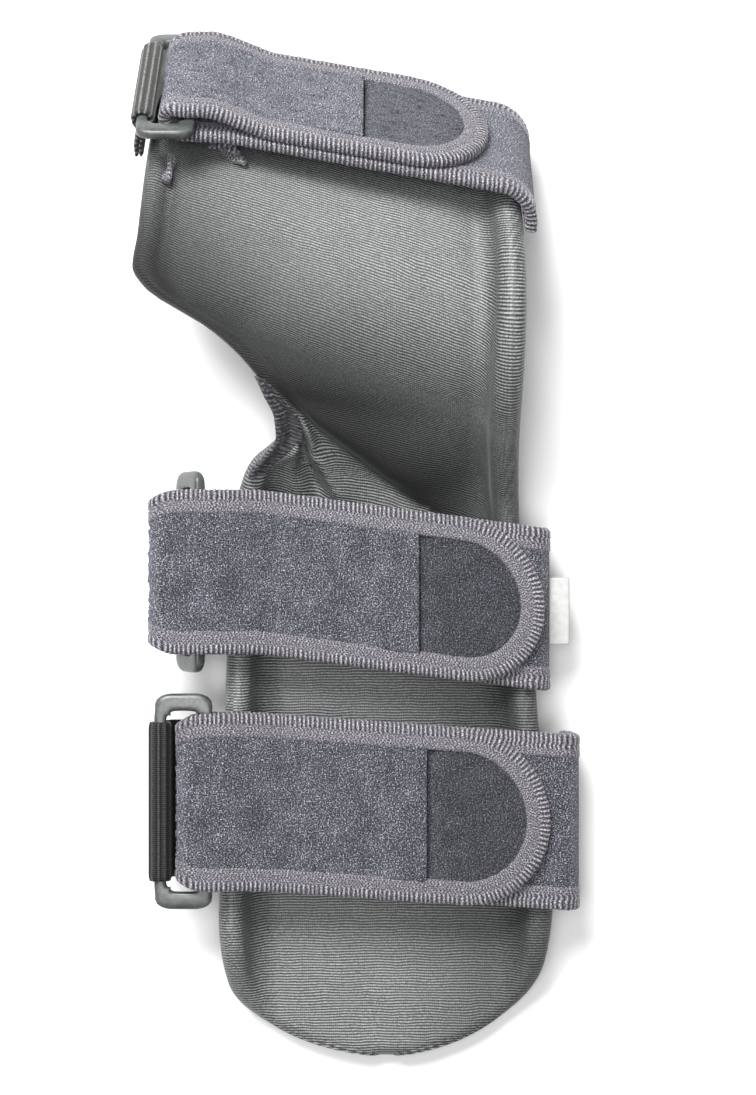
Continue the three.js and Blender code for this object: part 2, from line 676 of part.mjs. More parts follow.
// Bare tag sewn to the right end of the wrist strap.
function addLabel(layout) {
  const { frame, low } = layout;
  const geometry = new THREE.BoxGeometry(labelReach, labelLength, labelThickness);
  const label = addPiece('wrist_label', geometry, labelCloth);
  const x = frame.right + bindingThickness + 2 * seamGap + labelReach / 2;
  seatInFrame(label, layout, new Vector2(x, low - strapShoulder - labelThickness));
}

addShell();
addNotchEdge();
addSeamTails();
for (const layout of straps.map(strapLayout)) {
  addStrap(layout);
  addBinding(layout);
  addRing(layout);
  addWebbing(layout);
  if (layout.strap.name === 'wrist') addLabel(layout);
}

// The origin is on the table, under the middle of the splint.
const extent = new THREE.Box3().setFromObject(splint);
splint.position.set(-(extent.min.x + extent.max.x) / 2, -(extent.min.y + extent.max.y) / 2, 0);

export default splint;
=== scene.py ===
import math

import bpy
import numpy as np
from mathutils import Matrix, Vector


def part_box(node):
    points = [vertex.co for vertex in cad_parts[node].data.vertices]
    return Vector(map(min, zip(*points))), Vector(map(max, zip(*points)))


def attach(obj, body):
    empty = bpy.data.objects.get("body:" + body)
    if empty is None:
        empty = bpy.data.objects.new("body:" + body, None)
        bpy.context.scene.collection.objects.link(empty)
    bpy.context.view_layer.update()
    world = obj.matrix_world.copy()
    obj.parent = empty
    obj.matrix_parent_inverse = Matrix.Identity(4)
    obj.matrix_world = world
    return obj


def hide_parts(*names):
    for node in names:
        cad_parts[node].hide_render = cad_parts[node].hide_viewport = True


# Resting hand splint: padded trough, three loop-pile straps through rings, bound edges.
# Shapes are worked out in millimetres and put into the meshes in metres.

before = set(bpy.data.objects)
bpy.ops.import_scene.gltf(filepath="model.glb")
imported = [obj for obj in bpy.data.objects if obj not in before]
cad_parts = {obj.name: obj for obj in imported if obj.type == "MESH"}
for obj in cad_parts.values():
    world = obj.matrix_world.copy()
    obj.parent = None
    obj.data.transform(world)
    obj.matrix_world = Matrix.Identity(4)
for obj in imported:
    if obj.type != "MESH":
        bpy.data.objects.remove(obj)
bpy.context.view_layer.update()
metresPerMm = 0.001
rootBody = "root"

# mesh helpers


def meshFromGrid(name, points, uv, material, closedAcross=True, closedAlong=False, capped=True):
    # points[row, column] in mm. Quads join neighbours; a closed section also joins its last column to its
    # first, and a capped one gets a flat face on both ends. uv has one more column (row) where it closes.
    rows, columns = points.shape[:2]
    index = np.arange(rows * columns).reshape(rows, columns)
    if closedAcross:
        index = np.concatenate([index, index[:, :1]], axis=1)
    if closedAlong:
        index = np.concatenate([index, index[:1]], axis=0)
    corners = [index[:-1, :-1], index[:-1, 1:], index[1:, 1:], index[1:, :-1]]
    quads = np.stack(corners, axis=-1).reshape(-1, 4)
    uvCorners = [uv[:-1, :-1], uv[:-1, 1:], uv[1:, 1:], uv[1:, :-1]]
    loopUv = np.stack(uvCorners, axis=-2).reshape(-1, 2)
    vertices = points.reshape(-1, 3)
    # outward facing: the signed volume of the quads is positive
    a, b, c, d = (vertices[quads[:, k]] for k in range(4))
    volume = np.einsum("ij,ij->", a, np.cross(b, c)) + np.einsum("ij,ij->", a, np.cross(c, d))
    if volume < 0:
        quads = quads[:, ::-1]
        loopUv = loopUv.reshape(-1, 4, 2)[:, ::-1].reshape(-1, 2)
    loops = quads.reshape(-1)
    starts = np.arange(0, len(loops), 4)
    totals = np.full(len(starts), 4)
    if closedAcross and capped and not closedAlong:
        first, last = index[0, :-1], index[-1, :-1]
        if volume < 0:
            last = last[::-1]
        else:
            first = first[::-1]
        capUv = np.zeros((len(first) + len(last), 2)) + uv[0, 0]
        starts = np.concatenate([starts, [len(loops), len(loops) + len(first)]])
        totals = np.concatenate([totals, [len(first), len(last)]])
        loops = np.concatenate([loops, first, last])
        loopUv = np.concatenate([loopUv, capUv])
    mesh = bpy.data.meshes.new(name)
    mesh.vertices.add(len(vertices))
    mesh.vertices.foreach_set("co", (vertices * metresPerMm).astype(np.float32).ravel())
    mesh.loops.add(len(loops))
    mesh.loops.foreach_set("vertex_index", loops.astype(np.int32))
    mesh.polygons.add(len(starts))
    mesh.polygons.foreach_set("loop_start", starts.astype(np.int32))
    mesh.polygons.foreach_set("loop_total", totals.astype(np.int32))
    mesh.polygons.foreach_set("use_smooth", np.ones(len(starts), bool))
    layer = mesh.uv_layers.new(name="cloth")
    layer.data.foreach_set("uv", loopUv.astype(np.float32).ravel())
    mesh.update(calc_edges=True)
    mesh.validate()
    mesh.materials.append(material)
    piece = bpy.data.objects.new(name, mesh)
    bpy.context.scene.collection.objects.link(piece)
    return piece


def sectionUv(around, along):
    # One U for each column and one V for each row.
    return np.stack(np.broadcast_arrays(around[None, :], along[:, None]), axis=-1)


def smoothStep(value, low, high):
    share = np.clip((value - low) / (high - low), 0, 1)
    return share * share * (3 - 2 * share)


def bell(distance, width):
    # One at no distance, 1/e at the width and soon nothing beyond it.
    return np.exp(-((distance / width) ** 2))


def edgeRamp(share, start):
    # Nothing in the middle of a band, from the start rising as a square to one on its edge.
    return np.clip((np.abs(share) - start) / (1 - start), 0, 1) ** 2


nearlyStraight = math.radians(89.5)


def roundedLine(corners, steps):
    # Straight runs joined by arcs. Each corner is (x, height, radius) and its arc touches both runs. A corner
    # that hardly turns is left out.
    path = []
    for k, (x, height, radius) in enumerate(corners):
        here = np.array([x, height])
        if radius == 0:
            path.append(here)
            continue
        before = np.array(corners[k - 1][:2]) - here
        after = np.array(corners[k + 1][:2]) - here
        before, after = before / np.linalg.norm(before), after / np.linalg.norm(after)
        half = math.acos(np.clip(before @ after, -1, 1)) / 2
        if half > nearlyStraight:
            continue
        start, end = here + before * radius / math.tan(half), here + after * radius / math.tan(half)
        middle = before + after
        centre = here + middle / np.linalg.norm(middle) * radius / math.sin(half)
        first = math.atan2(*(start - centre)[::-1])
        sweep = (math.atan2(*(end - centre)[::-1]) - first + math.pi) % (2 * math.pi) - math.pi
        angles = first + sweep * np.linspace(0, 1, steps + 1)
        path += list(centre + radius * np.stack([np.cos(angles), np.sin(angles)], axis=1))
    return np.array(path)


def lengthsAlong(path):
    return np.concatenate([[0], np.cumsum(np.linalg.norm(np.diff(path, axis=0), axis=1))])


def evenly(path, spacing=None, count=None):
    # The same line with points at equal distances, and its unit normal, which is on the right of its run.
    lengths = lengthsAlong(path)
    count = count or max(2, int(round(lengths[-1] / spacing)) + 1)
    distances = np.linspace(0, lengths[-1], count)
    line = np.stack([np.interp(distances, lengths, path[:, k]) for k in (0, 1)], axis=1)
    tangent = np.gradient(line, axis=0)
    tangent /= np.linalg.norm(tangent, axis=1, keepdims=True)
    normal = np.stack([tangent[:, 1], -tangent[:, 0]], axis=1)
    return distances, line, normal


# material helpers


def newMaterial(name, look):
    # look holds roughness, and specular, sheen, sheenRoughness and sheenTint where they aren't plain.
    material = bpy.data.materials.new(name)
    material.use_nodes = True
    shader = material.node_tree.nodes["Principled BSDF"]
    shader.inputs["Roughness"].default_value = look["roughness"]
    shader.inputs["Specular IOR Level"].default_value = look.get("specular", 0.4)
    shader.inputs["Sheen Weight"].default_value = look.get("sheen", 0.0)
    shader.inputs["Sheen Roughness"].default_value = look.get("sheenRoughness", 0.4)
    shader.inputs["Sheen Tint"].default_value = (*look.get("sheenTint", (1, 1, 1)), 1)
    return material, shader


def addNode(material, kind, inputs=None, **settings):
    # One node with its settings, and its inputs given as values or as the sockets that feed them.
    tree = material.node_tree
    node = tree.nodes.new(kind)
    for key, value in settings.items():
        setattr(node, key, value)
    for key, value in (inputs or {}).items():
        if isinstance(value, bpy.types.NodeSocket):
            tree.links.new(value, node.inputs[key])
        else:
            node.inputs[key].default_value = value
    return node


def maths(material, operation, a, b=0.0, c=0.0, clamp=False):
    inputs = {0: a, 1: b, 2: c}
    return addNode(material, "ShaderNodeMath", inputs, operation=operation, use_clamp=clamp).outputs[0]


def ramp(material, factor, stops):
    # Colour ramp from (position, colour) rows.
    node = addNode(material, "ShaderNodeValToRGB", {"Fac": factor})
    while len(node.color_ramp.elements) < len(stops):
        node.color_ramp.elements.new(0.5)
    for element, (position, colour) in zip(node.color_ramp.elements, stops):
        element.position = position
        element.color = (*colour, 1)
    return node.outputs["Color"]


def noise(material, vector, scale, detail=2.0, roughness=0.5):
    inputs = {"Vector": vector, "Scale": scale, "Detail": detail, "Roughness": roughness}
    return addNode(material, "ShaderNodeTexNoise", inputs).outputs["Fac"]


def clothCoordinates(material):
    # The piece's own map: U across the cloth and V along it, both in millimetres.
    uvMap = addNode(material, "ShaderNodeUVMap", uv_map="cloth").outputs["UV"]
    split = addNode(material, "ShaderNodeSeparateXYZ", {0: uvMap})
    return uvMap, split.outputs["X"], split.outputs["Y"]


def waveOf(material, coordinate, pitch, shift=0.0):
    # Half of one plus the sine of 2 pi coordinate / pitch + shift, from 0 to 1.
    turned = maths(material, "MULTIPLY_ADD", coordinate, 2 * math.pi / pitch, shift)
    return maths(material, "MULTIPLY_ADD", maths(material, "SINE", turned), 0.5, 0.5)


def bumpOf(material, shader, height, strength, distance):
    inputs = {"Height": height, "Strength": strength, "Distance": distance}
    bump = addNode(material, "ShaderNodeBump", inputs)
    material.node_tree.links.new(bump.outputs["Normal"], shader.inputs["Normal"])


def objectCoordinates(material):
    return addNode(material, "ShaderNodeTexCoord").outputs["Object"]


def colourOf(material, tone, look, places, dim=1.0):
    # The colours of the look, in their order, at these places of the tone.
    keys = [key for key in look if key.endswith("Colour")]
    return ramp(material, tone, [(at, tuple(dim * c for c in look[key])) for at, key in zip(places, keys)])


def paint(material, shader, tone, look, places, dim=1.0):
    colour = colourOf(material, tone, look, places, dim)
    material.node_tree.links.new(colour, shader.inputs["Base Color"])


# fine knit cover

knitCover = {
    "coursePitch": 0.88,  # mm between the fine lines across the hand
    "walePitch": 0.62,  # mm between the stitches along a line
    "driftMm": 1.6,  # how far the lines wander
    "specklePerMetre": 2200,
    "speckleContrast": 1.5,
    "speckleShift": -0.8,
    "gapColour": (0.022, 0.024, 0.024),
    "threadColour": (0.098, 0.103, 0.104),
    "glintColour": (0.360, 0.375, 0.372),
    "roughness": 0.50,
    "dullRoughness": 0.35,  # added where the painted shade darkens the cover
    "sheen": 0.12,
    "sheenRoughness": 0.35,
    "sheenTint": (0.92, 0.96, 0.96),
    "specular": 0.55,
    "bumpMm": 0.14,
}


def makeKnitCover():
    # Courses and wales as two waves, uneven by a noise; they fade where the cover turns from the eye.
    material, shader = newMaterial("knit_cover", knitCover)
    uvMap, u, v = clothCoordinates(material)
    drifted = maths(material, "MULTIPLY_ADD", noise(material, uvMap, 0.09), knitCover["driftMm"], v)
    course = waveOf(material, drifted, knitCover["coursePitch"])
    wale = waveOf(material, u, knitCover["walePitch"])
    stitch = maths(material, "MULTIPLY", course, maths(material, "MULTIPLY_ADD", wale, 0.2, 0.8))
    facing = addNode(material, "ShaderNodeLayerWeight", {"Blend": 0.5}).outputs["Facing"]
    plain = maths(material, "SUBTRACT", 1.0, maths(material, "MULTIPLY", facing, facing))
    stitch = maths(material, "MULTIPLY_ADD", maths(material, "SUBTRACT", stitch, 0.4), plain, 0.4)
    speckle = noise(material, objectCoordinates(material), knitCover["specklePerMetre"], 2.0, 0.7)
    lively = maths(material, "MULTIPLY_ADD", speckle, knitCover["speckleContrast"], knitCover["speckleShift"])
    tone = maths(material, "ADD", stitch, lively, clamp=True)
    colour = colourOf(material, tone, knitCover, (0.05, 0.5, 0.98))
    # painted shade: the cover's colour is scaled down by a factor per point along the wrist crease and
    # towards the right side of the forearm, where the light falls away; the same factor makes it rougher
    # there
    paintedShade = addNode(material, "ShaderNodeAttribute", attribute_name="paintedShade").outputs["Fac"]
    shadedColour = addNode(material, "ShaderNodeVectorMath", {0: colour, "Scale": paintedShade}, operation="SCALE")
    material.node_tree.links.new(shadedColour.outputs[0], shader.inputs["Base Color"])
    dullest = knitCover["roughness"] + knitCover["dullRoughness"]
    rougher = maths(material, "MULTIPLY_ADD", paintedShade, -knitCover["dullRoughness"], dullest)
    material.node_tree.links.new(rougher, shader.inputs["Roughness"])
    bumpOf(material, shader, stitch, 0.7, knitCover["bumpMm"] * metresPerMm)
    return material


# loop pile of the straps

loopPile = {
    "gapColour": (0.006, 0.006, 0.009),
    "loopColour": (0.072, 0.074, 0.088),
    "tipColour": (0.620, 0.635, 0.730),
    "tabShadeDim": 0.45,  # painted shade: the tab's pile gets this share of the colour, as the tab turns away from the light
    "grainPerMm": 2.3,
    "grainContrast": 3.8,
    "grainShift": -1.56,
    "tipsPerMm": 1.85,
    "tipStrength": 0.9,
    "roughness": 0.85,
    "sheen": 0.24,
    "sheenRoughness": 0.5,
    "sheenTint": (0.85, 0.87, 1.0),
    "specular": 0.25,
    "bumpMm": 0.9,
}


def makeLoopPile(name, dim):
    # Coarse grain with scattered bright loop tips, each with its own brightness, over slow patches.
    material, shader = newMaterial(name, loopPile)
    uvMap = clothCoordinates(material)[0]
    grain = noise(material, uvMap, loopPile["grainPerMm"], 3.0, 0.75)
    tips = addNode(material, "ShaderNodeTexVoronoi", {"Vector": uvMap, "Scale": loopPile["tipsPerMm"]})
    tip = maths(material, "MULTIPLY_ADD", tips.outputs["Distance"], -2.2, 1.0, clamp=True)
    own = addNode(material, "ShaderNodeSeparateColor", {0: tips.outputs["Color"]}).outputs[0]
    tip = maths(material, "MULTIPLY", tip, maths(material, "POWER", own, 2.0))
    patches = maths(material, "MULTIPLY_ADD", noise(material, uvMap, 0.12), 0.3, -0.15)
    tone = maths(material, "MULTIPLY_ADD", grain, loopPile["grainContrast"], loopPile["grainShift"])
    tone = maths(material, "ADD", tone, patches)
    tone = maths(material, "MULTIPLY_ADD", tip, loopPile["tipStrength"], tone, clamp=True)
    paint(material, shader, tone, loopPile, (0.10, 0.50, 1.0), dim)
    bumpOf(material, shader, grain, 0.9, loopPile["bumpMm"] * metresPerMm)
    return material


# ribbed knit of the bindings and overlocked seams

bindingKnit = {
    "gapColour": (0.012, 0.011, 0.014),
    "threadColour": (0.112, 0.106, 0.122),
    "glintColour": (0.600, 0.585, 0.640),
    "barPitch": 1.4,  # mm between the bars across the edge
    "meshPitch": 1.05,  # mm between the crossing strands of the inner half
    "edgeHalfWidth": 4.9,  # mm from the outermost line to where the bars end
    "meshStrength": 0.46,
    "hairContrast": 2.4,
    "hairShift": -1.08,
    "roughness": 0.7,
    "sheen": 0.25,
    "sheenTint": (0.96, 0.92, 1.0),
    "specular": 0.35,
    "bumpMm": 0.35,
}


def makeBindingKnit(name, dim, middleOfEdge, barStrength):
    # Bars across the edge on its outer half, strands crossing as a mesh inside, both frayed by a fine noise.
    # middleOfEdge is the U of the outermost line.
    material, shader = newMaterial(name, bindingKnit)
    uvMap, u, v = clothCoordinates(material)
    bar = waveOf(material, v, bindingKnit["barPitch"], -math.pi / 2)
    leaning = waveOf(material, maths(material, "MULTIPLY_ADD", u, 0.8, v), bindingKnit["meshPitch"])
    crossing = waveOf(material, maths(material, "MULTIPLY_ADD", u, -0.8, v), bindingKnit["meshPitch"])
    mesh = maths(material, "MAXIMUM", leaning, crossing)
    fromEdge = maths(material, "ABSOLUTE", maths(material, "SUBTRACT", u, middleOfEdge))
    past = maths(material, "SUBTRACT", fromEdge, bindingKnit["edgeHalfWidth"])
    inside = maths(material, "MULTIPLY", past, 2.0, clamp=True)
    barTone = maths(material, "MULTIPLY", bar, barStrength)
    meshTone = maths(material, "MULTIPLY_ADD", mesh, bindingKnit["meshStrength"], -0.02)
    change = maths(material, "SUBTRACT", meshTone, barTone)
    pattern = maths(material, "MULTIPLY_ADD", change, inside, barTone)
    hair = noise(material, uvMap, 2.0, 3.0, 0.75)
    frayed = maths(material, "MULTIPLY_ADD", hair, bindingKnit["hairContrast"], bindingKnit["hairShift"])
    tone = maths(material, "ADD", frayed, pattern, clamp=True)
    paint(material, shader, tone, bindingKnit, (0.06, 0.5, 1.0), dim)
    bumpOf(material, shader, hair, 0.6, bindingKnit["bumpMm"] * metresPerMm)
    return material


# ribbed webbing

ribbedWebbing = {
    "grooveColour": (0.004, 0.005, 0.004),
    "ribColour": (0.040, 0.043, 0.037),
    "glintColour": (0.300, 0.310, 0.285),
    "litDim": 1.0,  # the finger webbing faces the light and keeps the full colour
    # painted shade: the other webbings are darker copies of the same material
    "paintedShadeDim": 0.2,
    "ribPitch": 1.7,  # mm between the ribs
    "ribStrength": 0.7,
    "weavePitch": 0.6,  # mm between the picks across them
    "weaveStrength": 0.2,
    "fleckContrast": 1.2,
    "fleckShift": -0.66,
    "roughness": 0.62,
    "sheen": 0.15,
    "bumpMm": 0.15,
}


def makeRibbedWebbing(name, dim):
    # Bright ribs along the strip over dark grooves, cut by fine picks across.
    material, shader = newMaterial(name, ribbedWebbing)
    uvMap, u, v = clothCoordinates(material)
    weave = waveOf(material, u, ribbedWebbing["weavePitch"])
    rib = waveOf(material, v, ribbedWebbing["ribPitch"])
    tone = noise(material, uvMap, 1.6, 2.0, 0.6)
    tone = maths(material, "MULTIPLY_ADD", tone, ribbedWebbing["fleckContrast"], ribbedWebbing["fleckShift"])
    tone = maths(material, "MULTIPLY_ADD", weave, ribbedWebbing["weaveStrength"], tone)
    crest = maths(material, "MULTIPLY", rib, rib)
    tone = maths(material, "MULTIPLY_ADD", crest, ribbedWebbing["ribStrength"], tone, clamp=True)
    paint(material, shader, tone, ribbedWebbing, (0.05, 0.5, 1.0), dim)
    bumpOf(material, shader, weave, 0.6, ribbedWebbing["bumpMm"] * metresPerMm)
    return material


# moulded plastic of the rings

ringPlastic = {
    "baseColour": (0.036, 0.040, 0.039),
    "scuffColour": (0.120, 0.135, 0.130),
    "roughness": 0.34,
    "cloudedGloss": 0.35,  # roughness that the clouds add
    "specular": 0.6,
    "bumpMm": 0.08,
}


def makeRingPlastic():
    # Smooth grey with clouded gloss and fine scuffs.
    material, shader = newMaterial("ring_plastic", ringPlastic)
    place = objectCoordinates(material)
    scuffs = noise(material, place, 900.0, 4.0, 0.7)
    clouds = noise(material, place, 120.0)
    paint(material, shader, maths(material, "MULTIPLY", scuffs, clouds), ringPlastic, (0.15, 0.5))
    glossiest = ringPlastic["roughness"] - 0.15
    gloss = maths(material, "MULTIPLY_ADD", clouds, ringPlastic["cloudedGloss"], glossiest)
    material.node_tree.links.new(gloss, shader.inputs["Roughness"])
    bumpOf(material, shader, scuffs, 0.25, ringPlastic["bumpMm"] * metresPerMm)
    return material


# sewn tag

labelCloth = {
    "shadeColour": (0.34, 0.34, 0.33),
    "whiteColour": (0.50, 0.50, 0.49),
    "weavePitch": 0.35,
    "roughness": 0.7,
    "sheen": 0.1,
    "specular": 0.3,
    "bumpMm": 0.06,
}


def makeLabelCloth():
    # Plain weave: the product of two waves, uneven by a noise.
    material, shader = newMaterial("label_cloth", labelCloth)
    uvMap, u, v = clothCoordinates(material)
    warp = waveOf(material, u, labelCloth["weavePitch"])
    weave = maths(material, "MULTIPLY", warp, waveOf(material, v, labelCloth["weavePitch"]))
    tone = maths(material, "ADD", weave, noise(material, uvMap, 0.5), clamp=True)
    paint(material, shader, tone, labelCloth, (0.2, 0.8))
    bumpOf(material, shader, weave, 0.4, labelCloth["bumpMm"] * metresPerMm)
    return material


knitMaterial = makeKnitCover()
pileMaterial = makeLoopPile("loop_pile", 1.0)
# a darker copy of the pile for the tabs, painted shade
tabShadedPile = makeLoopPile("tab_pile_painted_shade", loopPile["tabShadeDim"])
bindingMaterial = makeBindingKnit("binding_knit", 1.0, 10.1, 0.55)
notchMaterial = makeBindingKnit("notch_knit", 0.6, 3.0, 0.4)
litWebbing = makeRibbedWebbing("webbing_lit", ribbedWebbing["litDim"])
shadedWebbing = makeRibbedWebbing("webbing_painted_shade", ribbedWebbing["paintedShadeDim"])
plasticMaterial = makeRingPlastic()
labelMaterial = makeLabelCloth()
print("materials made")

# padded shell

padThickness = 8.0
padRadius = padThickness / 2
forearmLength = 166.0
handLength = 154.926
shellLength = forearmLength + handLength

shellForm = {
    # length in mm and upward turn in degrees of each run of the side profile
    "runs": [(forearmLength, 0), (25.133, 40), (31, 0), (39.794, -57), (9, 0), (30, -21.380), (20, 0)],
    "bendRadius": 14.0,  # mm, between floor and wall
    "handSlant": 19.0,  # degrees by which the hand part's sections slant
    "leftEndRound": 48.0,  # mm over which each side narrows towards the forearm end
    "rightEndRound": 62.0,
    "fingerEndRound": 30.0,
    "endInset": 0.05,  # the first and last section lie this far in, with a small width left
    "shift": (8.709, -164.222, 0.0),  # mm from the side profile's start to the shared frame
    "rowSpacing": 1.35,
    "columns": 96,
    "edgeSteps": 7,  # finer steps within the rim's rounding
}


def handAt(share):
    return forearmLength + handLength * share


# place along the shell, floor width, wall length and the wall's end angle, on each side
rightRows = [
    (0, 34, 27, 72), (0.25 * forearmLength, 34, 27, 72), (0.68 * forearmLength, 28.9, 25.92, 72),
    (handAt(0.15), 23.5, 25.08, 72), (handAt(0.35), 23.205, 23.1, 72), (handAt(0.66), 24.48, 22, 72),
    (handAt(0.85), 24.225, 18.04, 66.24), (handAt(1), 24.225, 12.1, 61.2),
]
leftRows = [
    (0, 34, 27, 72), (0.25 * forearmLength, 34, 27, 72), (0.68 * forearmLength, 32.3, 25.92, 72),
    (0.97 * forearmLength, 31.255, 23.1, 72), (handAt(0.07), 29.375, 18.92, 72),
    (handAt(0.11), 27.965, 16.05, 72),
    (handAt(0.15), 24.44, 12.75, 72), (handAt(0.2), 20.915, 10.5, 72), (handAt(0.24), 21.62, 10.5, 64.8),
    (handAt(0.29), 25.42, 12, 48), (handAt(0.335), 31.62, 12.75, 38.4), (handAt(0.37), 40.92, 13.5, 35.2),
    (handAt(0.4), 58.9, 15, 32), (handAt(0.43), 63.24, 15, 32), (handAt(0.5), 62, 15, 32),
    (handAt(0.7), 60.14, 15, 32), (handAt(1), 57.66, 15, 32),
]


def readRows(rows, at, column):
    # Monotone cubic between the rows: each inner tangent is the harmonic mean of the two grades beside it.
    places = np.array([row[0] for row in rows], float)
    values = np.array([row[column] for row in rows], float)
    grades = np.diff(values) / np.diff(places)
    before, after = grades[:-1], grades[1:]
    both = np.where(np.abs(before + after) > 1e-12, before + after, 1)
    tangents = np.zeros(len(rows))
    tangents[1:-1] = np.where(before * after > 0, 2 * before * after / both, 0)
    at = np.clip(at, places[0], places[-1])
    k = np.clip(np.searchsorted(places, at, side="right") - 1, 0, len(rows) - 2)
    span = places[k + 1] - places[k]
    share = (at - places[k]) / span
    rise = values[k + 1] - values[k]
    start, end = tangents[k] * span, tangents[k + 1] * span
    square, cube = 3 * rise - 2 * start - end, start + end - 2 * rise
    return values[k] + start * share + square * share**2 + cube * share**3


def profileAt(distance):
    # Side profile: straight runs and circular bends end to end. Past its ends it runs on straight.
    lengths = np.array([run[0] for run in shellForm["runs"]], float)
    turns = np.radians([run[1] for run in shellForm["runs"]])
    starts = np.concatenate([[0], np.cumsum(lengths)[:-1]])
    slopes = np.concatenate([[0], np.cumsum(turns)[:-1]])
    rates = turns / lengths
    chord = np.where(turns == 0, 1, 2 * np.sin(turns / 2) / np.where(turns == 0, 1, rates))
    reach = np.where(turns == 0, lengths, chord)
    yStarts = np.concatenate([[0], np.cumsum(reach * np.cos(slopes + turns / 2))[:-1]])
    zStarts = padRadius + np.concatenate([[0], np.cumsum(reach * np.sin(slopes + turns / 2))[:-1]])
    k = np.clip(np.searchsorted(starts, distance, side="right") - 1, 0, len(lengths) - 1)
    run = distance - starts[k]
    rate = rates[k]
    slope = slopes[k] + rate * run
    safe = np.where(rate == 0, 1, rate)
    y = np.where(rate == 0, run * np.cos(slopes[k]), (np.sin(slope) - np.sin(slopes[k])) / safe)
    z = np.where(rate == 0, run * np.sin(slopes[k]), (np.cos(slopes[k]) - np.cos(slope)) / safe)
    return yStarts[k] + y, zStarts[k] + z, slope


def endRounding(at, forearmEndRound):
    # The forearm end narrows along a circle, the finger end along a squarer curve of the third power.
    forearmShare = np.clip(at / forearmEndRound, 0, 1)
    fingerShare = np.clip((shellLength - at) / shellForm["fingerEndRound"], 0, 1)
    return np.sqrt(1 - (1 - forearmShare) ** 2) * np.cbrt(1 - (1 - fingerShare) ** 3)


def sideWidth(rows, at):
    endRound = shellForm["leftEndRound"] if rows is leftRows else shellForm["rightEndRound"]
    return (readRows(rows, at, 1) + readRows(rows, at, 2)) * endRounding(at, endRound)


def shellPoint(station, across, height):
    # Flat floor, then an arc of the bend radius, then a straight wall; the section stands square to the
    # side profile, whose stations slant across the hand. height is square to the surface.
    side = np.where(across < 0, -1.0, 1.0)
    floor = np.where(across < 0, readRows(leftRows, station, 1), readRows(rightRows, station, 1))
    tilt = np.radians(np.where(across < 0, readRows(leftRows, station, 3), readRows(rightRows, station, 3)))
    bendRadius = shellForm["bendRadius"]
    beyond = np.maximum(np.abs(across) - floor, 0)
    bent = np.minimum(beyond, bendRadius * tilt)
    angle = bent / bendRadius
    straight = beyond - bent
    onFloor = np.minimum(np.abs(across), floor)
    sideways = side * (onFloor + bendRadius * np.sin(angle) + straight * np.cos(angle))
    lift = bendRadius * (1 - np.cos(angle)) + straight * np.sin(angle)
    slanted = smoothStep(station, forearmLength * 0.8, handAt(0.12))
    y, z, slope = profileAt(station - math.tan(math.radians(shellForm["handSlant"])) * sideways * slanted)
    rise = lift + height * np.cos(angle)
    x = sideways - side * np.sin(angle) * height
    point = np.stack([x, y - np.sin(slope) * rise, z + np.cos(slope) * rise], axis=-1)
    return point + np.array(shellForm["shift"])


def besideLine(x, y, line):
    # Share of the way along a line from x, y to x, y, and the distance from it, above zero on its left.
    fromX, fromY, toX, toY = line
    alongX, alongY = toX - fromX, toY - fromY
    length = math.hypot(alongX, alongY)
    share = ((x - fromX) * alongX + (y - fromY) * alongY) / length**2
    return share, ((y - fromY) * alongX - (x - fromX) * alongY) / length


# folds of the cover, as lines on the plan of the splint: from x, y to x, y in mm, half width and height in mm
coverFolds = [
    (-21.0, 40.0, -12.5, 17.0, 2.6, -3.2),
    (-19.0, 40.0, -4.0, 14.0, 3.2, 3.0),
    (-24.0, 38.0, -20.0, 15.0, 4.5, 1.5),
    (-24.0, 46.0, 10.0, 15.0, 4.0, -1.2),
    (-22.0, 47.0, 20.0, 23.0, 6.0, 1.4),
    (-20.0, 49.0, 23.0, 39.0, 5.0, -0.7),
    (-30.0, 27.0, -34.0, 16.0, 3.0, -0.8),
    (-50.0, 71.0, -22.0, 57.0, 7.0, -0.7),
    (-57.0, 91.0, -32.0, 75.0, 8.0, 0.6),
]


def foldHeight(x, y):
    # Sum of smooth ridges: height falls off as a bell across each line, which widens along it, and tapers to
    # nothing at its ends.
    total = np.zeros_like(x)
    for *line, halfWidth, height in coverFolds:
        share, aside = besideLine(x, y, line)
        widened = halfWidth * (0.45 + 0.75 * np.clip(share, 0, 1.2))
        taper = smoothStep(share, -0.12, 0.12) * (1 - smoothStep(share, 0.8, 1.25))
        total += height * taper * bell(aside, widened)
    return total


creaseForm = {
    "line": (-30.0, 51.0, 20.0, 13.0),  # from x, y to x, y in mm on the plan
    "rise": 4.6,  # mm that the palm side stands up behind the crease
    "reach": 4.2,  # mm over which it rises
    "fade": 26.0,  # mm over which it sinks back
    "valley": 1.3,  # mm that the wrist side dips before it
    "valleyWidth": 3.5,
}


def creaseHeight(x, y):
    # Height over the distance d behind the line: rise (1 - e^(-d/reach)) e^(-(d/fade)^2), less a small dip
    # with its middle on the line, both fading out past the line's ends.
    share, distance = besideLine(x, y, creaseForm["line"])
    behind = np.maximum(distance, 0)
    rise = creaseForm["rise"] * (1 - np.exp(-behind / creaseForm["reach"])) * bell(behind, creaseForm["fade"])
    dip = creaseForm["valley"] * bell(distance, creaseForm["valleyWidth"])
    ends = smoothStep(share, -0.25, 0.1) * (1 - smoothStep(share, 0.7, 1.35))
    return (rise - dip) * ends


# Painted shade on the cover: a dark band along this line on the palm's side, where the cover turns away from
# the light, and a darker right side of the forearm.
paintedShadeForm = {
    "line": [(-70.0, 84.0), (-39.0, 54.0), (-30.0, 51.0), (20.0, 13.0)],  # x, y in mm on the plan
    "shadeDepth": 0.92,  # share of the colour taken away on the line, as painted shade
    "reach": 34.0,  # mm over which it eases on the palm's side
    "edge": 1.6,  # mm over which it eases on the wrist's side
    "forearmShadeDepth": 0.48,  # painted shade towards the right side of the forearm
}


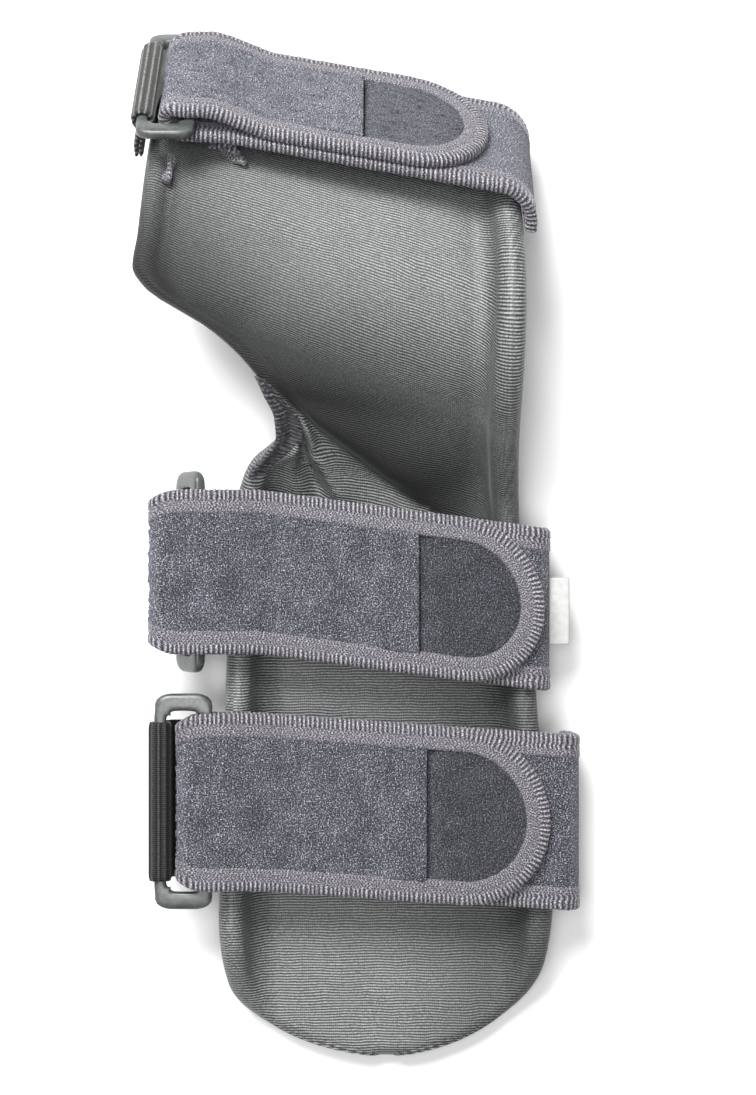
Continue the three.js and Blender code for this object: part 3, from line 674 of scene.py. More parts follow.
def paintedShadeAt(x, y):
    # Painted shade factor: 1 - shadeDepth e^(-(d/reach)^2) by the distance d to the line, with the short edge
    # for a reach on the wrist's side, and darker again towards the right side of the forearm.
    nearest = np.full_like(x, 1e9)
    signed = np.zeros_like(x)
    line = paintedShadeForm["line"]
    for (fromX, fromY), (toX, toY) in zip(line[:-1], line[1:]):
        share, aside = besideLine(x, y, (fromX, fromY, toX, toY))
        share = np.clip(share, 0, 1)
        gap = np.hypot(x - fromX - share * (toX - fromX), y - fromY - share * (toY - fromY))
        closer = gap < nearest
        nearest = np.where(closer, gap, nearest)
        signed = np.where(closer, gap * np.sign(aside), signed)
    palm, wrist = bell(signed, paintedShadeForm["reach"]), bell(signed, paintedShadeForm["edge"])
    creaseShade = paintedShadeForm["shadeDepth"] * np.where(signed > 0, palm, wrist)
    forearm = paintedShadeForm["forearmShadeDepth"] * smoothStep(x, 0, 52) * (1 - smoothStep(y, -20, 10))
    return (1 - creaseShade) * (1 - forearm)


def padSurface():
    # Upper and lower layer over one grid of stations and distances across. Their height is that of a circle
    # of the pad's radius by the distance to the rim, so that they meet on it.
    steps = padRadius * 1.02 * (1 - np.cos(np.linspace(0, np.pi / 2, shellForm["edgeSteps"])))
    inset = shellForm["endInset"]
    endSteps = np.concatenate([steps, steps[-1] + np.array([0.9, 1.9, 3.0])])
    rows = int((shellLength - 2 * inset) / shellForm["rowSpacing"])
    middle = np.linspace(inset + endSteps[-1], shellLength - inset - endSteps[-1], rows)[1:-1]
    stations = np.concatenate([inset + endSteps, middle, shellLength - inset - endSteps[::-1]])
    left, right = sideWidth(leftRows, stations), sideWidth(rightRows, stations)
    share = np.linspace(0, 1, shellForm["columns"])[1:-1]
    edge = np.minimum(steps[-1], 0.3 * (left + right)[:, None] / 2)
    edgeShare = steps / steps[-1]
    innerLeft, innerRight = -left[:, None] + edge, right[:, None] - edge
    inner = innerLeft + (innerRight - innerLeft) * share
    leftEdge, rightEdge = -left[:, None] + edge * edgeShare, right[:, None] - edge * edgeShare
    across = np.concatenate([leftEdge, inner, rightEdge[:, ::-1]], axis=1)
    station = np.broadcast_to(stations[:, None], across.shape)
    flat = shellPoint(station, across, np.zeros_like(across))
    rim = np.concatenate([flat[0], flat[-1], flat[:, 0], flat[:, -1]])
    toRim = np.full(across.shape, padRadius)
    for row in range(len(stations)):  # distance of a whole row to the whole rim at a time
        gaps = flat[row][:, None, :] - rim[None, :, :]
        toRim[row] = np.minimum(np.sqrt((gaps**2).sum(-1)).min(1), padRadius)
    height = np.sqrt(np.maximum(padRadius**2 - (padRadius - toRim) ** 2, 0))
    return station, across, flat, toRim, height


padRelief = {
    # ridges along the rim: distance from it, half width and height in mm
    "roll": (5.5, 4.0, 0.7),
    "channel": (15.0, 6.0, -1.0),
    "seam": (6.5, 0.7, -0.55),
    # slow waves of the floor: height in mm, turn in radians for a mm of x and of y, and shift
    "waves": [(0.28, 0.061, 0.083, 1.3), (0.22, 0.113, -0.071, 0.4)],
    "ripple": 0.12,
    "crown": 0.5,  # mm that the forearm's middle lies lower
}


def rimRidge(name, fromRim):
    place, halfWidth, height = padRelief[name]
    return height * bell(fromRim - place, halfWidth)


def addPaddedShell():
    station, across, flat, toRim, height = padSurface()
    left, right = sideWidth(leftRows, station), sideWidth(rightRows, station)
    x, y = flat[..., 0], flat[..., 1]
    fromRight, fromLeft = right - across, across + left
    onHand = smoothStep(station, handAt(0.1), handAt(0.25))
    onHand = onHand * (1 - smoothStep(station, handAt(0.78), handAt(0.95)))
    onForearm = 1 - smoothStep(station, forearmLength * 0.75, forearmLength * 0.95)
    full = smoothStep(toRim, 0.0, padRadius * 0.9)
    roll = (rimRidge("roll", fromRight) + rimRidge("channel", fromRight)) * onHand
    seam = rimRidge("seam", fromLeft) * smoothStep(station, handAt(0.4), handAt(0.5))
    waves = sum(rise * np.sin(byX * x + byY * y + shift) for rise, byX, byY, shift in padRelief["waves"])
    waves += padRelief["ripple"] * np.sin(0.21 * x + 0.16 * y) * np.sin(0.13 * y - 0.1 * x)
    crown = padRelief["crown"] * np.sin(np.pi * np.clip(fromLeft / (left + right), 0, 1)) ** 2
    relief = roll + seam + waves + foldHeight(x, y) + creaseHeight(x, y) - crown * onForearm
    upper = shellPoint(station, across, height + relief * full)
    lower = shellPoint(station, across, -height)
    # one closed section per station: over the top from left to right, and back underneath
    points = np.concatenate([upper, lower[:, -2:0:-1]], axis=1)
    away = np.concatenate([across, 2 * right[:, -1:] - across[:, -2:0:-1]], axis=1)
    away = np.concatenate([away, 2 * right[:, -1:] + left[:, :1]], axis=1)
    # V is the length along the middle line of the upper layer, so that the courses keep their pitch
    along = lengthsAlong(upper[:, upper.shape[1] // 2])
    uv = np.stack([away, np.broadcast_to(along[:, None], away.shape)], axis=-1)
    shell = meshFromGrid("paddedShell", points, uv, knitMaterial, capped=False)
    # painted shade per point, read by the cover's material for its colour and roughness
    paintedShade = shell.data.attributes.new("paintedShade", "FLOAT", "POINT")
    paintedShade.data.foreach_set("value", paintedShadeAt(points[..., 0], points[..., 1]).astype(np.float32).ravel())
    weld = shell.modifiers.new("closeEnds", "WELD")
    weld.merge_threshold = 1e-6
    bpy.context.view_layer.objects.active = shell
    bpy.ops.object.modifier_apply(modifier=weld.name)
    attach(shell, rootBody)
    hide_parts("padded_shell")
    return shell


shellPiece = addPaddedShell()
print("padded shell made:", len(shellPiece.data.polygons), "faces")

# straps

# all lengths in mm
strapForm = {
    "thickness": 3.0,
    "bindingThickness": 3.6,
    "bindingWidth": 7.5,
    "fieldLap": 0.9,  # that the pile field goes under the binding
    "ringBar": 3.6,
    "ringSlot": 11.0,
    "ringCorner": 3.4,
    "ringEndPlay": 0.6,  # between the strap's edge and the ring's end bar
    "ringWiden": 1.0,  # share by which the end bars are wider outwards
    "ringFill": 1.2,  # share by which the bar is wider inwards at the corners
    "ringFillReach": 2.6,
    "ringSquareness": 0.62,
    "barReach": 1.95,  # from the bar's middle to its surface, with some play
    "gap": 0.3,
    "fall": 26.0,  # over which the upper layer comes down from the ring
    "ribPitch": 1.4,
    "ribHeight": 0.26,
    "ribSpacing": 0.25,  # between the binding's rows
    "pileHeight": 0.34,
    "pileSpacing": 0.62,
    "swell": 0.85,  # of the cloth over the patch, full within 9 mm of the step
    "swellReach": (9.0, 15.0),
    "ridge": 0.35,
    "ridgeAt": 13.0,
    "ridgeWidth": 1.6,
    "tabLap": 0.3,
    "tabDrop": 1.1,
    "tabDropReach": 3.4,
    "turnNarrow": 3.0,  # that each edge draws in at the ring
    "turnReach": 5.0,
    "webbingThickness": 1.3,
    "webbingInset": 3.0,  # that the webbing is narrower than the strap on each side
    "webbingKnee": 3.0,
    "webbingRibPitch": 1.7,
    "webbingRib": 0.17,
    "webbingSpacing": 0.28,
    "webbingColumns": 40,
}

# Origin of the strap's own plane in mm, its tilt, slant and the ring's droop in degrees. slantFrom is the x
# from which the strap slants, low the middle of the lower layer at its turn, drop how far it comes down to
# the right end, right and left the walls' outsides. ringReach and slack place the turn and the ring's inner
# bar. tabEnd and stepX are the strap's end and its step. sideTilt, stand, shoulder and leg shape the run
# down the right wall, tail the webbing's run down the left one.
strapRows = [
    {"name": "forearm", "width": 55, "origin": (8.709, -83.048, 4.0), "tilt": 0, "slant": 4,
     "slantFrom": -44.2, "low": 20.766, "drop": 0.12, "right": 52.438, "left": -52.806, "ringReach": 7,
     "slack": 4, "droop": 0, "tabEnd": 50.865, "stepX": 12.585, "sideTilt": 72, "stand": 4, "shoulder": 5,
     "leg": 9, "tail": 8.0},
    {"name": "wrist", "width": 51, "origin": (8.709, -13.992, 4.0), "tilt": 0, "slant": 7.5,
     "slantFrom": -39.95, "low": 20.083, "drop": 0, "right": 47.212, "left": -50.393, "ringReach": 18,
     "slack": 10, "droop": 64, "tabEnd": 49.100, "stepX": 10.387, "sideTilt": 72, "stand": 0, "shoulder": 5,
     "leg": 9, "tail": 4.8},
    {"name": "finger", "width": 50, "origin": (8.709, 121.586, 23.074), "tilt": 49, "slant": 14.5,
     "slantFrom": -49.6, "low": 13.578, "drop": 5.363, "right": 41.391, "left": -74.970, "ringReach": -11,
     "slack": 4, "droop": 0, "tabEnd": 31.043, "stepX": -7.036, "sideTilt": 90, "stand": 0, "shoulder": 10,
     "leg": 3.15, "tail": 2.4},
]


def placeInStrap(strap, x, across, height, slanted=True):
    # From the strap's own plane to the splint: across runs along the arm and slides with x by the slant,
    # and the whole plane leans by the tilt about the line across the arm.
    # What isn't slanted slides as a whole, with the point where the slant begins.
    tilt = math.radians(strap["tilt"])
    slideAt = np.maximum(x, strap["slantFrom"]) if slanted else strap["slantFrom"]
    along = across - math.tan(math.radians(strap["slant"])) * slideAt
    originX, originY, originZ = strap["origin"]
    y = originY + along * math.cos(tilt) + height * math.sin(tilt)
    z = originZ - along * math.sin(tilt) + height * math.cos(tilt)
    return np.stack([originX + x, y, z], axis=-1)


def turnOf(strap):
    # Radius of the strap's turn, its place on the strap's plane, and the middles of the ring's two bars.
    radius = strapForm["barReach"] + strapForm["gap"] + strapForm["bindingThickness"] / 2
    turn = np.array([strap["left"] - strap["ringReach"], strap["low"] + radius])
    inner = turn + np.array([strap["slack"], 0])
    droop = math.radians(strap["droop"])
    pitch = strapForm["ringSlot"] + strapForm["ringBar"]
    return radius, turn, inner, inner - pitch * np.array([math.cos(droop), math.sin(droop)])


def strapLine(strap):
    # Up the outside of the right wall, over the edge, across, round at the ring and back on top. Both layers
    # come down evenly by the drop from the turn to the right end.
    half = strapForm["bindingThickness"] / 2
    sideTilt = math.radians(strap["sideTilt"])
    depth = padRadius * (math.sin(sideTilt) + math.cos(sideTilt)) + strapForm["gap"] + half
    legDepth = strap["shoulder"] + strap["leg"]
    legTop = strap["right"] + strapForm["gap"] + half + strap["stand"]
    radius, turn, inner, _ = turnOf(strap)
    low, rest = strap["low"], strap["low"] + 2 * half + strapForm["gap"]
    right, slantFrom, tabEnd = low - strap["drop"], strap["slantFrom"], strap["tabEnd"]

    def dropTo(x):
        return strap["drop"] * (x - turn[0]) / (legTop - turn[0])

    lower = roundedLine([
        (legTop + (depth - legDepth) / math.tan(sideTilt), right - legDepth, 0),
        (legTop + depth / math.tan(sideTilt), right, strap["shoulder"]),
        (slantFrom, low - dropTo(slantFrom), 0), (turn[0], low, 0)], 12)
    angles = -math.pi / 2 - math.pi * np.linspace(0, 1, 19)[1:]
    bend = turn + radius * np.stack([np.cos(angles), np.sin(angles)], axis=1)
    fall = strapForm["fall"]
    fallFrom = inner[0] + fall * 0.2
    fallTo = fallFrom + fall * 0.7
    upper = roundedLine([
        (turn[0], turn[1] + radius, 0), (fallFrom, turn[1] + radius, fall * 0.4),
        (fallTo, rest - dropTo(fallTo), fall * 0.4), (tabEnd, rest - dropTo(tabEnd), 0)], 8)[1:]
    return np.concatenate([lower, bend, upper])


def bandSurface(strap, line, normal, across, height, slanted=True):
    # Carries a section (across, height) along the strap's line: each point is moved along the line's normal.
    x = line[:, None, 0] + normal[:, None, 0] * height
    z = line[:, None, 1] + normal[:, None, 1] * height
    return placeInStrap(strap, x, across, z, slanted)


def scatter(seed, shape):
    return np.random.default_rng(seed).normal(size=shape)


def blurred(values, passes):
    # Mean of each value, counted twice, and its four neighbours, a few times over.
    for _ in range(passes):
        padded = np.pad(values, 1, mode="edge")
        total = padded[1:-1, 1:-1] * 2 + padded[:-2, 1:-1] + padded[2:, 1:-1]
        values = (total + padded[1:-1, :-2] + padded[1:-1, 2:]) / 6
    return values


def addPileField(strap, name, distances, line, normal, halfWidths, topDrop, seed, material):
    # Slab of loop pile: the outer face carries short uneven loops, the inner face is plain.
    columns = int(2 * halfWidths.max() / strapForm["pileSpacing"])
    share = np.linspace(-1, 1, columns)
    half = strapForm["thickness"] / 2
    loops = blurred(scatter(seed, (len(distances), columns)), 1)
    loops = strapForm["pileHeight"] * loops / loops.std() * 0.62
    top = half - 0.5 * edgeRamp(share, 0.955)[None, :] + loops
    # on the upper layer the line's normal looks down, so that the pile is on its other side
    pileSide = -(top - topDrop[:, None])
    backSide = np.full_like(pileSide, half)
    across = halfWidths[:, None] * share[None, :]
    a = bandSurface(strap, line, normal, across, pileSide)
    b = bandSurface(strap, line, normal, across[:, ::-1], backSide)
    points = np.concatenate([a, b], axis=1)
    away = np.concatenate([across, across[:, -1:] * 2 - across[:, ::-1] + 1.0], axis=1)
    away = np.concatenate([away, away[:, -1:] + 1.0], axis=1)
    uv = np.stack([away, np.broadcast_to(distances[:, None], away.shape)], axis=-1)
    return meshFromGrid(name, points, uv, material)


def turnNarrowing(distances, line):
    # The strap's edges draw in where it goes round the ring, as a bell over the distance to its turn.
    turnAt = distances[np.argmin(line[:, 0])]
    return strapForm["turnNarrow"] * bell(distances - turnAt, strapForm["turnReach"])


def fieldHalfWidth(strap):
    # The pile field reaches a little way under the binding.
    return strap["width"] / 2 - strapForm["bindingWidth"] + strapForm["fieldLap"]


def addStrap(strap, seed):
    distances, line, normal = evenly(strapLine(strap), strapForm["pileSpacing"])
    length = distances[-1]
    stepAt = length - (strap["tabEnd"] - strap["stepX"])
    side = fieldHalfWidth(strap)
    main = distances <= stepAt
    halfWidths = side - turnNarrowing(distances[main], line[main])
    # the cloth swells a little over the end of the patch, with a faint ridge before it
    near = stepAt - distances[main]
    swell = strapForm["swell"] * (1 - smoothStep(near, *strapForm["swellReach"]))
    swell = swell + strapForm["ridge"] * bell(near - strapForm["ridgeAt"], strapForm["ridgeWidth"])
    field = addPileField(strap, strap["name"] + "Strap", distances[main], line[main], normal[main],
                         halfWidths, -swell, seed, pileMaterial)
    # the tab ends in a half circle, and its pile lies lower, most of all beside the step
    roundCentre = length - strap["width"] / 2
    tab = (distances > stepAt - strapForm["tabLap"]) & (distances <= roundCentre + side)
    beyond = np.clip((distances[tab] - roundCentre) / side, 0, 0.999)
    tabWidths = side * np.sqrt(1 - beyond**2)
    drop = strapForm["tabDrop"] * (0.35 + 1.35 * bell(distances[tab] - stepAt, strapForm["tabDropReach"]))
    # the tab takes the darker copy of the pile, painted shade
    tabPiece = addPileField(strap, strap["name"] + "Tab", distances[tab], line[tab], normal[tab],
                            tabWidths, drop, seed + 50, tabShadedPile)
    for piece, node in ((field, "_strap"), (tabPiece, "_tab")):
        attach(piece, rootBody)
        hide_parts(strap["name"] + node)
    return field, tabPiece, stepAt, length


# shares of the section's length round are counted from its outermost line, but for the back's
bindingForm = {
    "sectionPoints": 30,
    "barsEnd": 0.235,
    "grooveAt": 0.252,
    "meshFrom": 0.27,
    "meshPitch": 0.055,
    "meshLean": 0.45,  # of a bar's pitch, that the strands shift to and fro
    "wobble": 0.08,
    "groove": -0.3,  # mm
    "grooveWidth": 0.35,  # mm
    "backFrom": 0.60,  # shares from the section's start, past which the ribs are flatter
    "backTo": 0.66,
}


def bindingSection():
    # Section round the bound edge, from its inner top edge out and back underneath: length round, points as
    # (out, height) and the normal that looks outwards.
    half, width = strapForm["bindingThickness"] / 2, strapForm["bindingWidth"]
    path = roundedLine([
        (0.0, half * 0.55, 0), (0.0, half, 0.6), (width, half, half * 0.8), (width, -half, half * 0.8),
        (0.0, -half, 0.6), (0.0, -half * 0.55, 0)], 6)
    around, section, normal = evenly(path, count=bindingForm["sectionPoints"])
    return around, section, -normal


def addBinding(strap, length):
    # The section follows one edge, goes round the tab in a half circle and comes back along the other edge.
    distances, line, normal = evenly(strapLine(strap), strapForm["ribSpacing"])
    roundCentre = length - strap["width"] / 2
    inner = strap["width"] / 2 - strapForm["bindingWidth"]
    straight = distances[distances < roundCentre]
    outer = strap["width"] / 2
    arcSteps = int(math.pi * (outer - 2) / strapForm["ribSpacing"])
    angles = np.linspace(-math.pi / 2, math.pi / 2, arcSteps + 1)[1:-1]
    runs = np.concatenate([straight, np.full(len(angles), roundCentre), straight[::-1]])
    turn = np.concatenate([np.full(len(straight), -math.pi / 2), angles, np.full(len(straight), math.pi / 2)])
    arcLength = (outer - 2) * (angles[1] - angles[0])
    straightStep = np.full(len(straight), straight[1] - straight[0])
    place = np.cumsum(np.concatenate([straightStep, np.full(len(angles), arcLength), straightStep]))
    around, section, outward = bindingSection()
    total = around[-1]
    fromMiddle = np.abs(around - total / 2)  # 0 at the outermost edge
    # bars across the edge on its outer half, and slanting strands inside them
    barPhase = place[:, None] / strapForm["ribPitch"] * np.ones_like(around)[None, :]
    meshFrom = total * bindingForm["meshFrom"]
    inside = smoothStep(fromMiddle, total * bindingForm["barsEnd"], meshFrom)[None, :]
    chevron = np.abs(((fromMiddle - meshFrom) / (total * bindingForm["meshPitch"])) % 2 - 1)
    barPhase = barPhase + inside * chevron[None, :] * bindingForm["meshLean"]
    wobble = bindingForm["wobble"] * np.sin(place * 0.9)[:, None]
    bars = np.abs(np.sin(np.pi * (barPhase + wobble))) ** 0.8
    uneven = blurred(scatter(len(place), (len(place), len(around))), 3)
    strength = (1 - 0.35 * inside) * (1 + 0.25 * uneven / uneven.std())
    fromGroove = fromMiddle - total * bindingForm["grooveAt"]
    groove = bindingForm["groove"] * bell(fromGroove, bindingForm["grooveWidth"])[None, :]
    rib = strapForm["ribHeight"] * (bars * strength - 0.6) + groove
    flatBack = smoothStep(around, total * bindingForm["backFrom"], total * bindingForm["backTo"])[None, :]
    rib = rib * (1 - 0.5 * flatBack)
    out = section[None, :, 0] + outward[None, :, 0] * rib
    # the line's normal looks down on the upper layer, so heights are turned over
    height = -section[None, :, 1] - outward[None, :, 1] * rib
    radial = inner + out
    alongStrap = runs[:, None] + radial * np.cos(turn)[:, None]
    drawnIn = np.interp(runs, distances, turnNarrowing(distances, line))
    across = (radial - drawnIn[:, None]) * np.sin(turn)[:, None]
    px = np.interp(alongStrap, distances, line[:, 0])
    pz = np.interp(alongStrap, distances, line[:, 1])
    nx = np.interp(alongStrap, distances, normal[:, 0])
    nz = np.interp(alongStrap, distances, normal[:, 1])
    points = placeInStrap(strap, px + nx * height, across, pz + nz * height)
    barPlace = (barPhase + wobble) * strapForm["ribPitch"]
    barPlace = np.concatenate([barPlace, barPlace[:, :1]], axis=1)
    uv = np.stack(np.broadcast_arrays(np.append(around, total + 2)[None, :], barPlace), axis=-1)
    piece = meshFromGrid(strap["name"] + "Binding", points, uv, bindingMaterial)
    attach(piece, rootBody)
    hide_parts(strap["name"] + "_strap_binding")
    return piece


def addRing(strap):
    # Rounded rectangle swept with a rounded square section. It hangs down from its inner bar by the droop.
    bar = strapForm["ringBar"]
    _, _, inner, outer = turnOf(strap)
    halfX = (strapForm["ringSlot"] + bar) / 2
    halfY = strap["width"] / 2 + strapForm["ringEndPlay"] + bar / 2
    radius = strapForm["ringCorner"]
    corners = [
        (-halfX, 0.0, 0), (-halfX, halfY, radius), (halfX, halfY, radius), (halfX, -halfY, radius),
        (-halfX, -halfY, radius), (-halfX, 0.0, 0)]
    distances, line, normal = evenly(roundedLine(corners, 10), 0.8)
    line, normal, distances = line[:-1], normal[:-1], distances[:-1]
    angles = np.linspace(0, 2 * np.pi, 25)[:-1]
    squareness = strapForm["ringSquareness"]
    out = bar / 2 * np.sign(np.cos(angles)) * np.abs(np.cos(angles)) ** squareness
    onEndBar = smoothStep(np.abs(line[:, 1]), halfY - 2.5, halfY - 0.5)[:, None]
    toCorner = np.hypot(halfX - np.abs(line[:, 0]), halfY - np.abs(line[:, 1]))[:, None]
    filled = strapForm["ringFill"] * bell(toCorner, strapForm["ringFillReach"])
    out = np.where(out < 0, out * (1 + strapForm["ringWiden"] * onEndBar), out * (1 + filled))
    up = bar / 2 * np.sign(np.sin(angles)) * np.abs(np.sin(angles)) ** squareness
    reach = line[:, None, 0] + normal[:, None, 0] * out
    across = line[:, None, 1] + normal[:, None, 1] * out
    droop = math.radians(strap["droop"])
    x = (inner[0] + outer[0]) / 2 + reach * math.cos(droop) - up * math.sin(droop)
    height = (inner[1] + outer[1]) / 2 + reach * math.sin(droop) + up * math.cos(droop)
    points = placeInStrap(strap, x, across, height, slanted=False)
    uv = sectionUv(np.append(angles, 7), np.append(distances, 0))
    piece = meshFromGrid(strap["name"] + "Ring", points, uv, plasticMaterial, closedAlong=True)
    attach(piece, rootBody)
    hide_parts(strap["name"] + "_ring")
    return piece


def addWebbing(strap):
    # Strip folded round the ring's outer bar: up from the wall, round the bar and back down beside itself.
    bar, thickness = strapForm["ringBar"], strapForm["webbingThickness"]
    outer = turnOf(strap)[3]
    outside = strap["left"] - strapForm["gap"] - thickness
    tail = strap["tail"]
    kneeX = min(outer[0] + bar / 2, outside)
    kneeY = min(strap["low"] - 5, outer[1] - bar)
    lean = math.cos(math.radians(strap["sideTilt"])) * tail
    kneeRadius = strapForm["webbingKnee"]
    knee = [
        (outside + lean, kneeY - tail * 1.4, 0), (outside, kneeY - tail * 0.4, kneeRadius),
        (kneeX, kneeY, kneeRadius), (outer[0], outer[1], 0)]
    distances, line, normal = evenly(roundedLine(knee, 8), 0.3)
    loopRadius = strapForm["barReach"] + strapForm["gap"] + thickness / 2
    reach = np.linalg.norm(line - line[-1], axis=1)
    tailPart = reach > loopRadius * 1.25
    layerGap = thickness / 2 + 0.04
    up = (line + normal * layerGap)[tailPart]
    down = (line - normal * layerGap)[tailPart][::-1]
    centre = line[-1]
    first = math.atan2(*(up[-1] - centre)[::-1])
    last = math.atan2(*(down[0] - centre)[::-1])
    sweep = (last - first) % (2 * math.pi)
    if sweep < math.pi:
        sweep -= 2 * math.pi
    angles = first + sweep * np.linspace(0.06, 0.94, 40)
    loop = centre + loopRadius * np.stack([np.cos(angles), np.sin(angles)], axis=1)
    distances, line, normal = evenly(np.concatenate([up, loop, down]), strapForm["webbingSpacing"])
    width = strap["width"] - 2 * strapForm["webbingInset"]
    share = np.linspace(-1, 1, strapForm["webbingColumns"])
    ribs = strapForm["webbingRib"] * np.sin(2 * np.pi * distances / strapForm["webbingRibPitch"])
    thinned = 1 - 0.5 * edgeRamp(share, 0.93)[None, :]
    top = (thickness / 2 + ribs[:, None]) * thinned
    bottom = (thickness / 2 - 0.02) * thinned * np.ones_like(ribs[:, None])
    side = 1 if sweep > 0 else -1
    acrossRow = width / 2 * share + 0.15 * np.sin(share * 40)
    across = np.concatenate([acrossRow, acrossRow[::-1]])[None, :] * np.ones_like(ribs[:, None])
    height = np.concatenate([top, -bottom], axis=1) * side
    points = bandSurface(strap, line, normal, across, height, slanted=False)
    away = np.append(np.concatenate([acrossRow, width - acrossRow[::-1]]), width * 1.5 + 1)
    # lit and painted-shade copies of one webbing: the finger webbing is lit, the others are in painted shade
    material = litWebbing if strap["name"] == "finger" else shadedWebbing
    piece = meshFromGrid(strap["name"] + "Webbing", points, sectionUv(away, distances), material)
    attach(piece, rootBody)
    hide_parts(strap["name"] + "_webbing")
    return piece, width, distances[-1]


for number, strapRow in enumerate(strapRows):
    fieldPiece, tabPiece, strapStep, strapLength = addStrap(strapRow, 11 + number)
    bindingPiece = addBinding(strapRow, strapLength)
    ringPiece = addRing(strapRow)
    webbingPiece, webbingWidth, webbingLength = addWebbing(strapRow)
    print(strapRow["name"], "strap made:", round(strapLength), "mm long")

# overlocked edge of the thumb notch and the two seam tails

notchForm = {
    "from": 0.09,  # shares of the hand's length
    "to": 0.32,
    "inner": 3.2,  # mm that the strip lies on the cover
    "outer": 6.2,  # mm that it stands out past the rim
    "thickness": 2.6,
    "ribPitch": 0.95,
    "ribHeight": 0.26,
    "swellFrom": 0.16,  # share of a half turn at which the crescent begins, and how much of it it covers
    "swellSpan": 0.80,
    "groove": 0.5,
    "grooveAt": 0.42,  # share of the way from the strip's inner to its outer edge
    "grooveWidth": 0.05,
}


def addNotchEdge():
    # Crescent over the rim: its width is part of a half sine of its length. It lies on the pad, whose height
    # is that of a circle by the distance to the rim, and runs on flat past it. Ribs lie across it and a
    # stitched groove along it.
    start, end = handAt(notchForm["from"]), handAt(notchForm["to"])
    stations = np.linspace(start + 1.0, end - 1.0, 260)
    along = (stations - start) / (end - start)
    swell = np.sin(np.pi * (notchForm["swellFrom"] + notchForm["swellSpan"] * along))[:, None]
    angles = np.linspace(0, 2 * np.pi, 49)[:-1]
    share = 0.5 - 0.5 * np.cos(angles)[None, :]
    out = (-notchForm["inner"] + (notchForm["inner"] + notchForm["outer"]) * share) * swell
    inside = np.clip(-out, 0, padRadius)
    base = np.sqrt(np.maximum(padRadius**2 - (padRadius - inside) ** 2, 0)) * 0.9
    bars = np.abs(np.sin(np.pi * stations / notchForm["ribPitch"]))[:, None] ** 0.8
    groove = notchForm["groove"] * bell(share - notchForm["grooveAt"], notchForm["grooveWidth"])
    rounded = np.sign(np.sin(angles)) * np.abs(np.sin(angles)) ** 0.6
    relief = (notchForm["ribHeight"] * (bars - 0.5) - groove) * (rounded > 0)[None, :]
    half = notchForm["thickness"] / 2 + relief
    height = base + rounded[None, :] * half
    across = -sideWidth(leftRows, stations)[:, None] - out
    station = np.broadcast_to(stations[:, None], across.shape)
    points = shellPoint(station, across, height)
    uv = sectionUv(np.append(angles, 6.3), stations)
    piece = meshFromGrid("thumbNotchEdge", points, uv, notchMaterial)
    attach(piece, rootBody)
    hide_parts("thumb_notch_edge")
    return piece


# from and to are shares of the hand's length and mm across, turns counts half turns, rise and bow are in mm
seamTailRows = [
    {"name": "seamTail", "node": "seam_tail", "from": (0.742, -54.99), "to": (0.716, -43.4),
     "parting": 1.0, "turns": 1.3, "rise": 2.1, "bow": -1.4},
    {"name": "edgeSeamTail", "node": "edge_seam_tail", "from": (0.672, -69.44), "to": (0.607, -71.3),
     "parting": 0.35, "turns": 0.8, "rise": 1.4, "bow": 0.0},
]
seamTailForm = {
    "steps": 120,
    "halfWidth": 1.7,
    "halfHeight": 1.15,
    "waist": 0.45,  # share of the half height that is left between the strands
    "strands": 0.62,  # and what the strands add to it
    "rib": 0.10,
    "ribPitch": 0.8,
}


def addSeamTail(row):
    # Two overlocked strands side by side with ribs, that twist round each other and part in the middle.
    share = np.linspace(0, 1, seamTailForm["steps"])
    start = np.array([handAt(row["from"][0]), row["from"][1]])
    end = np.array([handAt(row["to"][0]), row["to"][1]])
    run = end - start
    length = np.linalg.norm(run)
    aside = np.array([-run[1], run[0]]) / length
    angles = np.linspace(0, 2 * np.pi, 41)[:-1]
    twin = seamTailForm["strands"] * np.abs(np.cos(angles)) + seamTailForm["waist"]
    ribs = np.abs(np.sin(np.pi * share * length / seamTailForm["ribPitch"]))[:, None]
    ribs = 1 + seamTailForm["rib"] * ribs
    spread = (0.75 + 0.75 * np.sin(np.pi * share) * row["parting"])[:, None]
    flat = seamTailForm["halfWidth"] * np.cos(angles)[None, :] * spread * ribs
    tall = seamTailForm["halfHeight"] * np.sin(angles)[None, :] * twin[None, :] * ribs
    turned = (np.pi * row["turns"] * share)[:, None]
    side = flat * np.cos(turned) - tall * np.sin(turned)
    up = flat * np.sin(turned) + tall * np.cos(turned)
    bow = row["bow"] * np.sin(np.pi * share)[:, None]
    place = start + run * share[:, None, None] + aside * (side + bow)[..., None]
    height = padRadius + row["rise"] + up
    points = shellPoint(place[..., 0], place[..., 1], height)
    uv = sectionUv(np.append(angles, 6.3), share * length)
    piece = meshFromGrid(row["name"], points, uv, bindingMaterial)
    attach(piece, rootBody)
    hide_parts(row["node"])
    return piece


addNotchEdge()
for tailRow in seamTailRows:
    addSeamTail(tailRow)
print("notch edge and seam tails made")

# bare sewn tag

# in mm, length along the arm, underStrap the part that the strap's binding covers
labelForm = {"length": 21.0, "thickness": 0.45, "curl": 0.7, "underStrap": 1.6, "columns": 48}


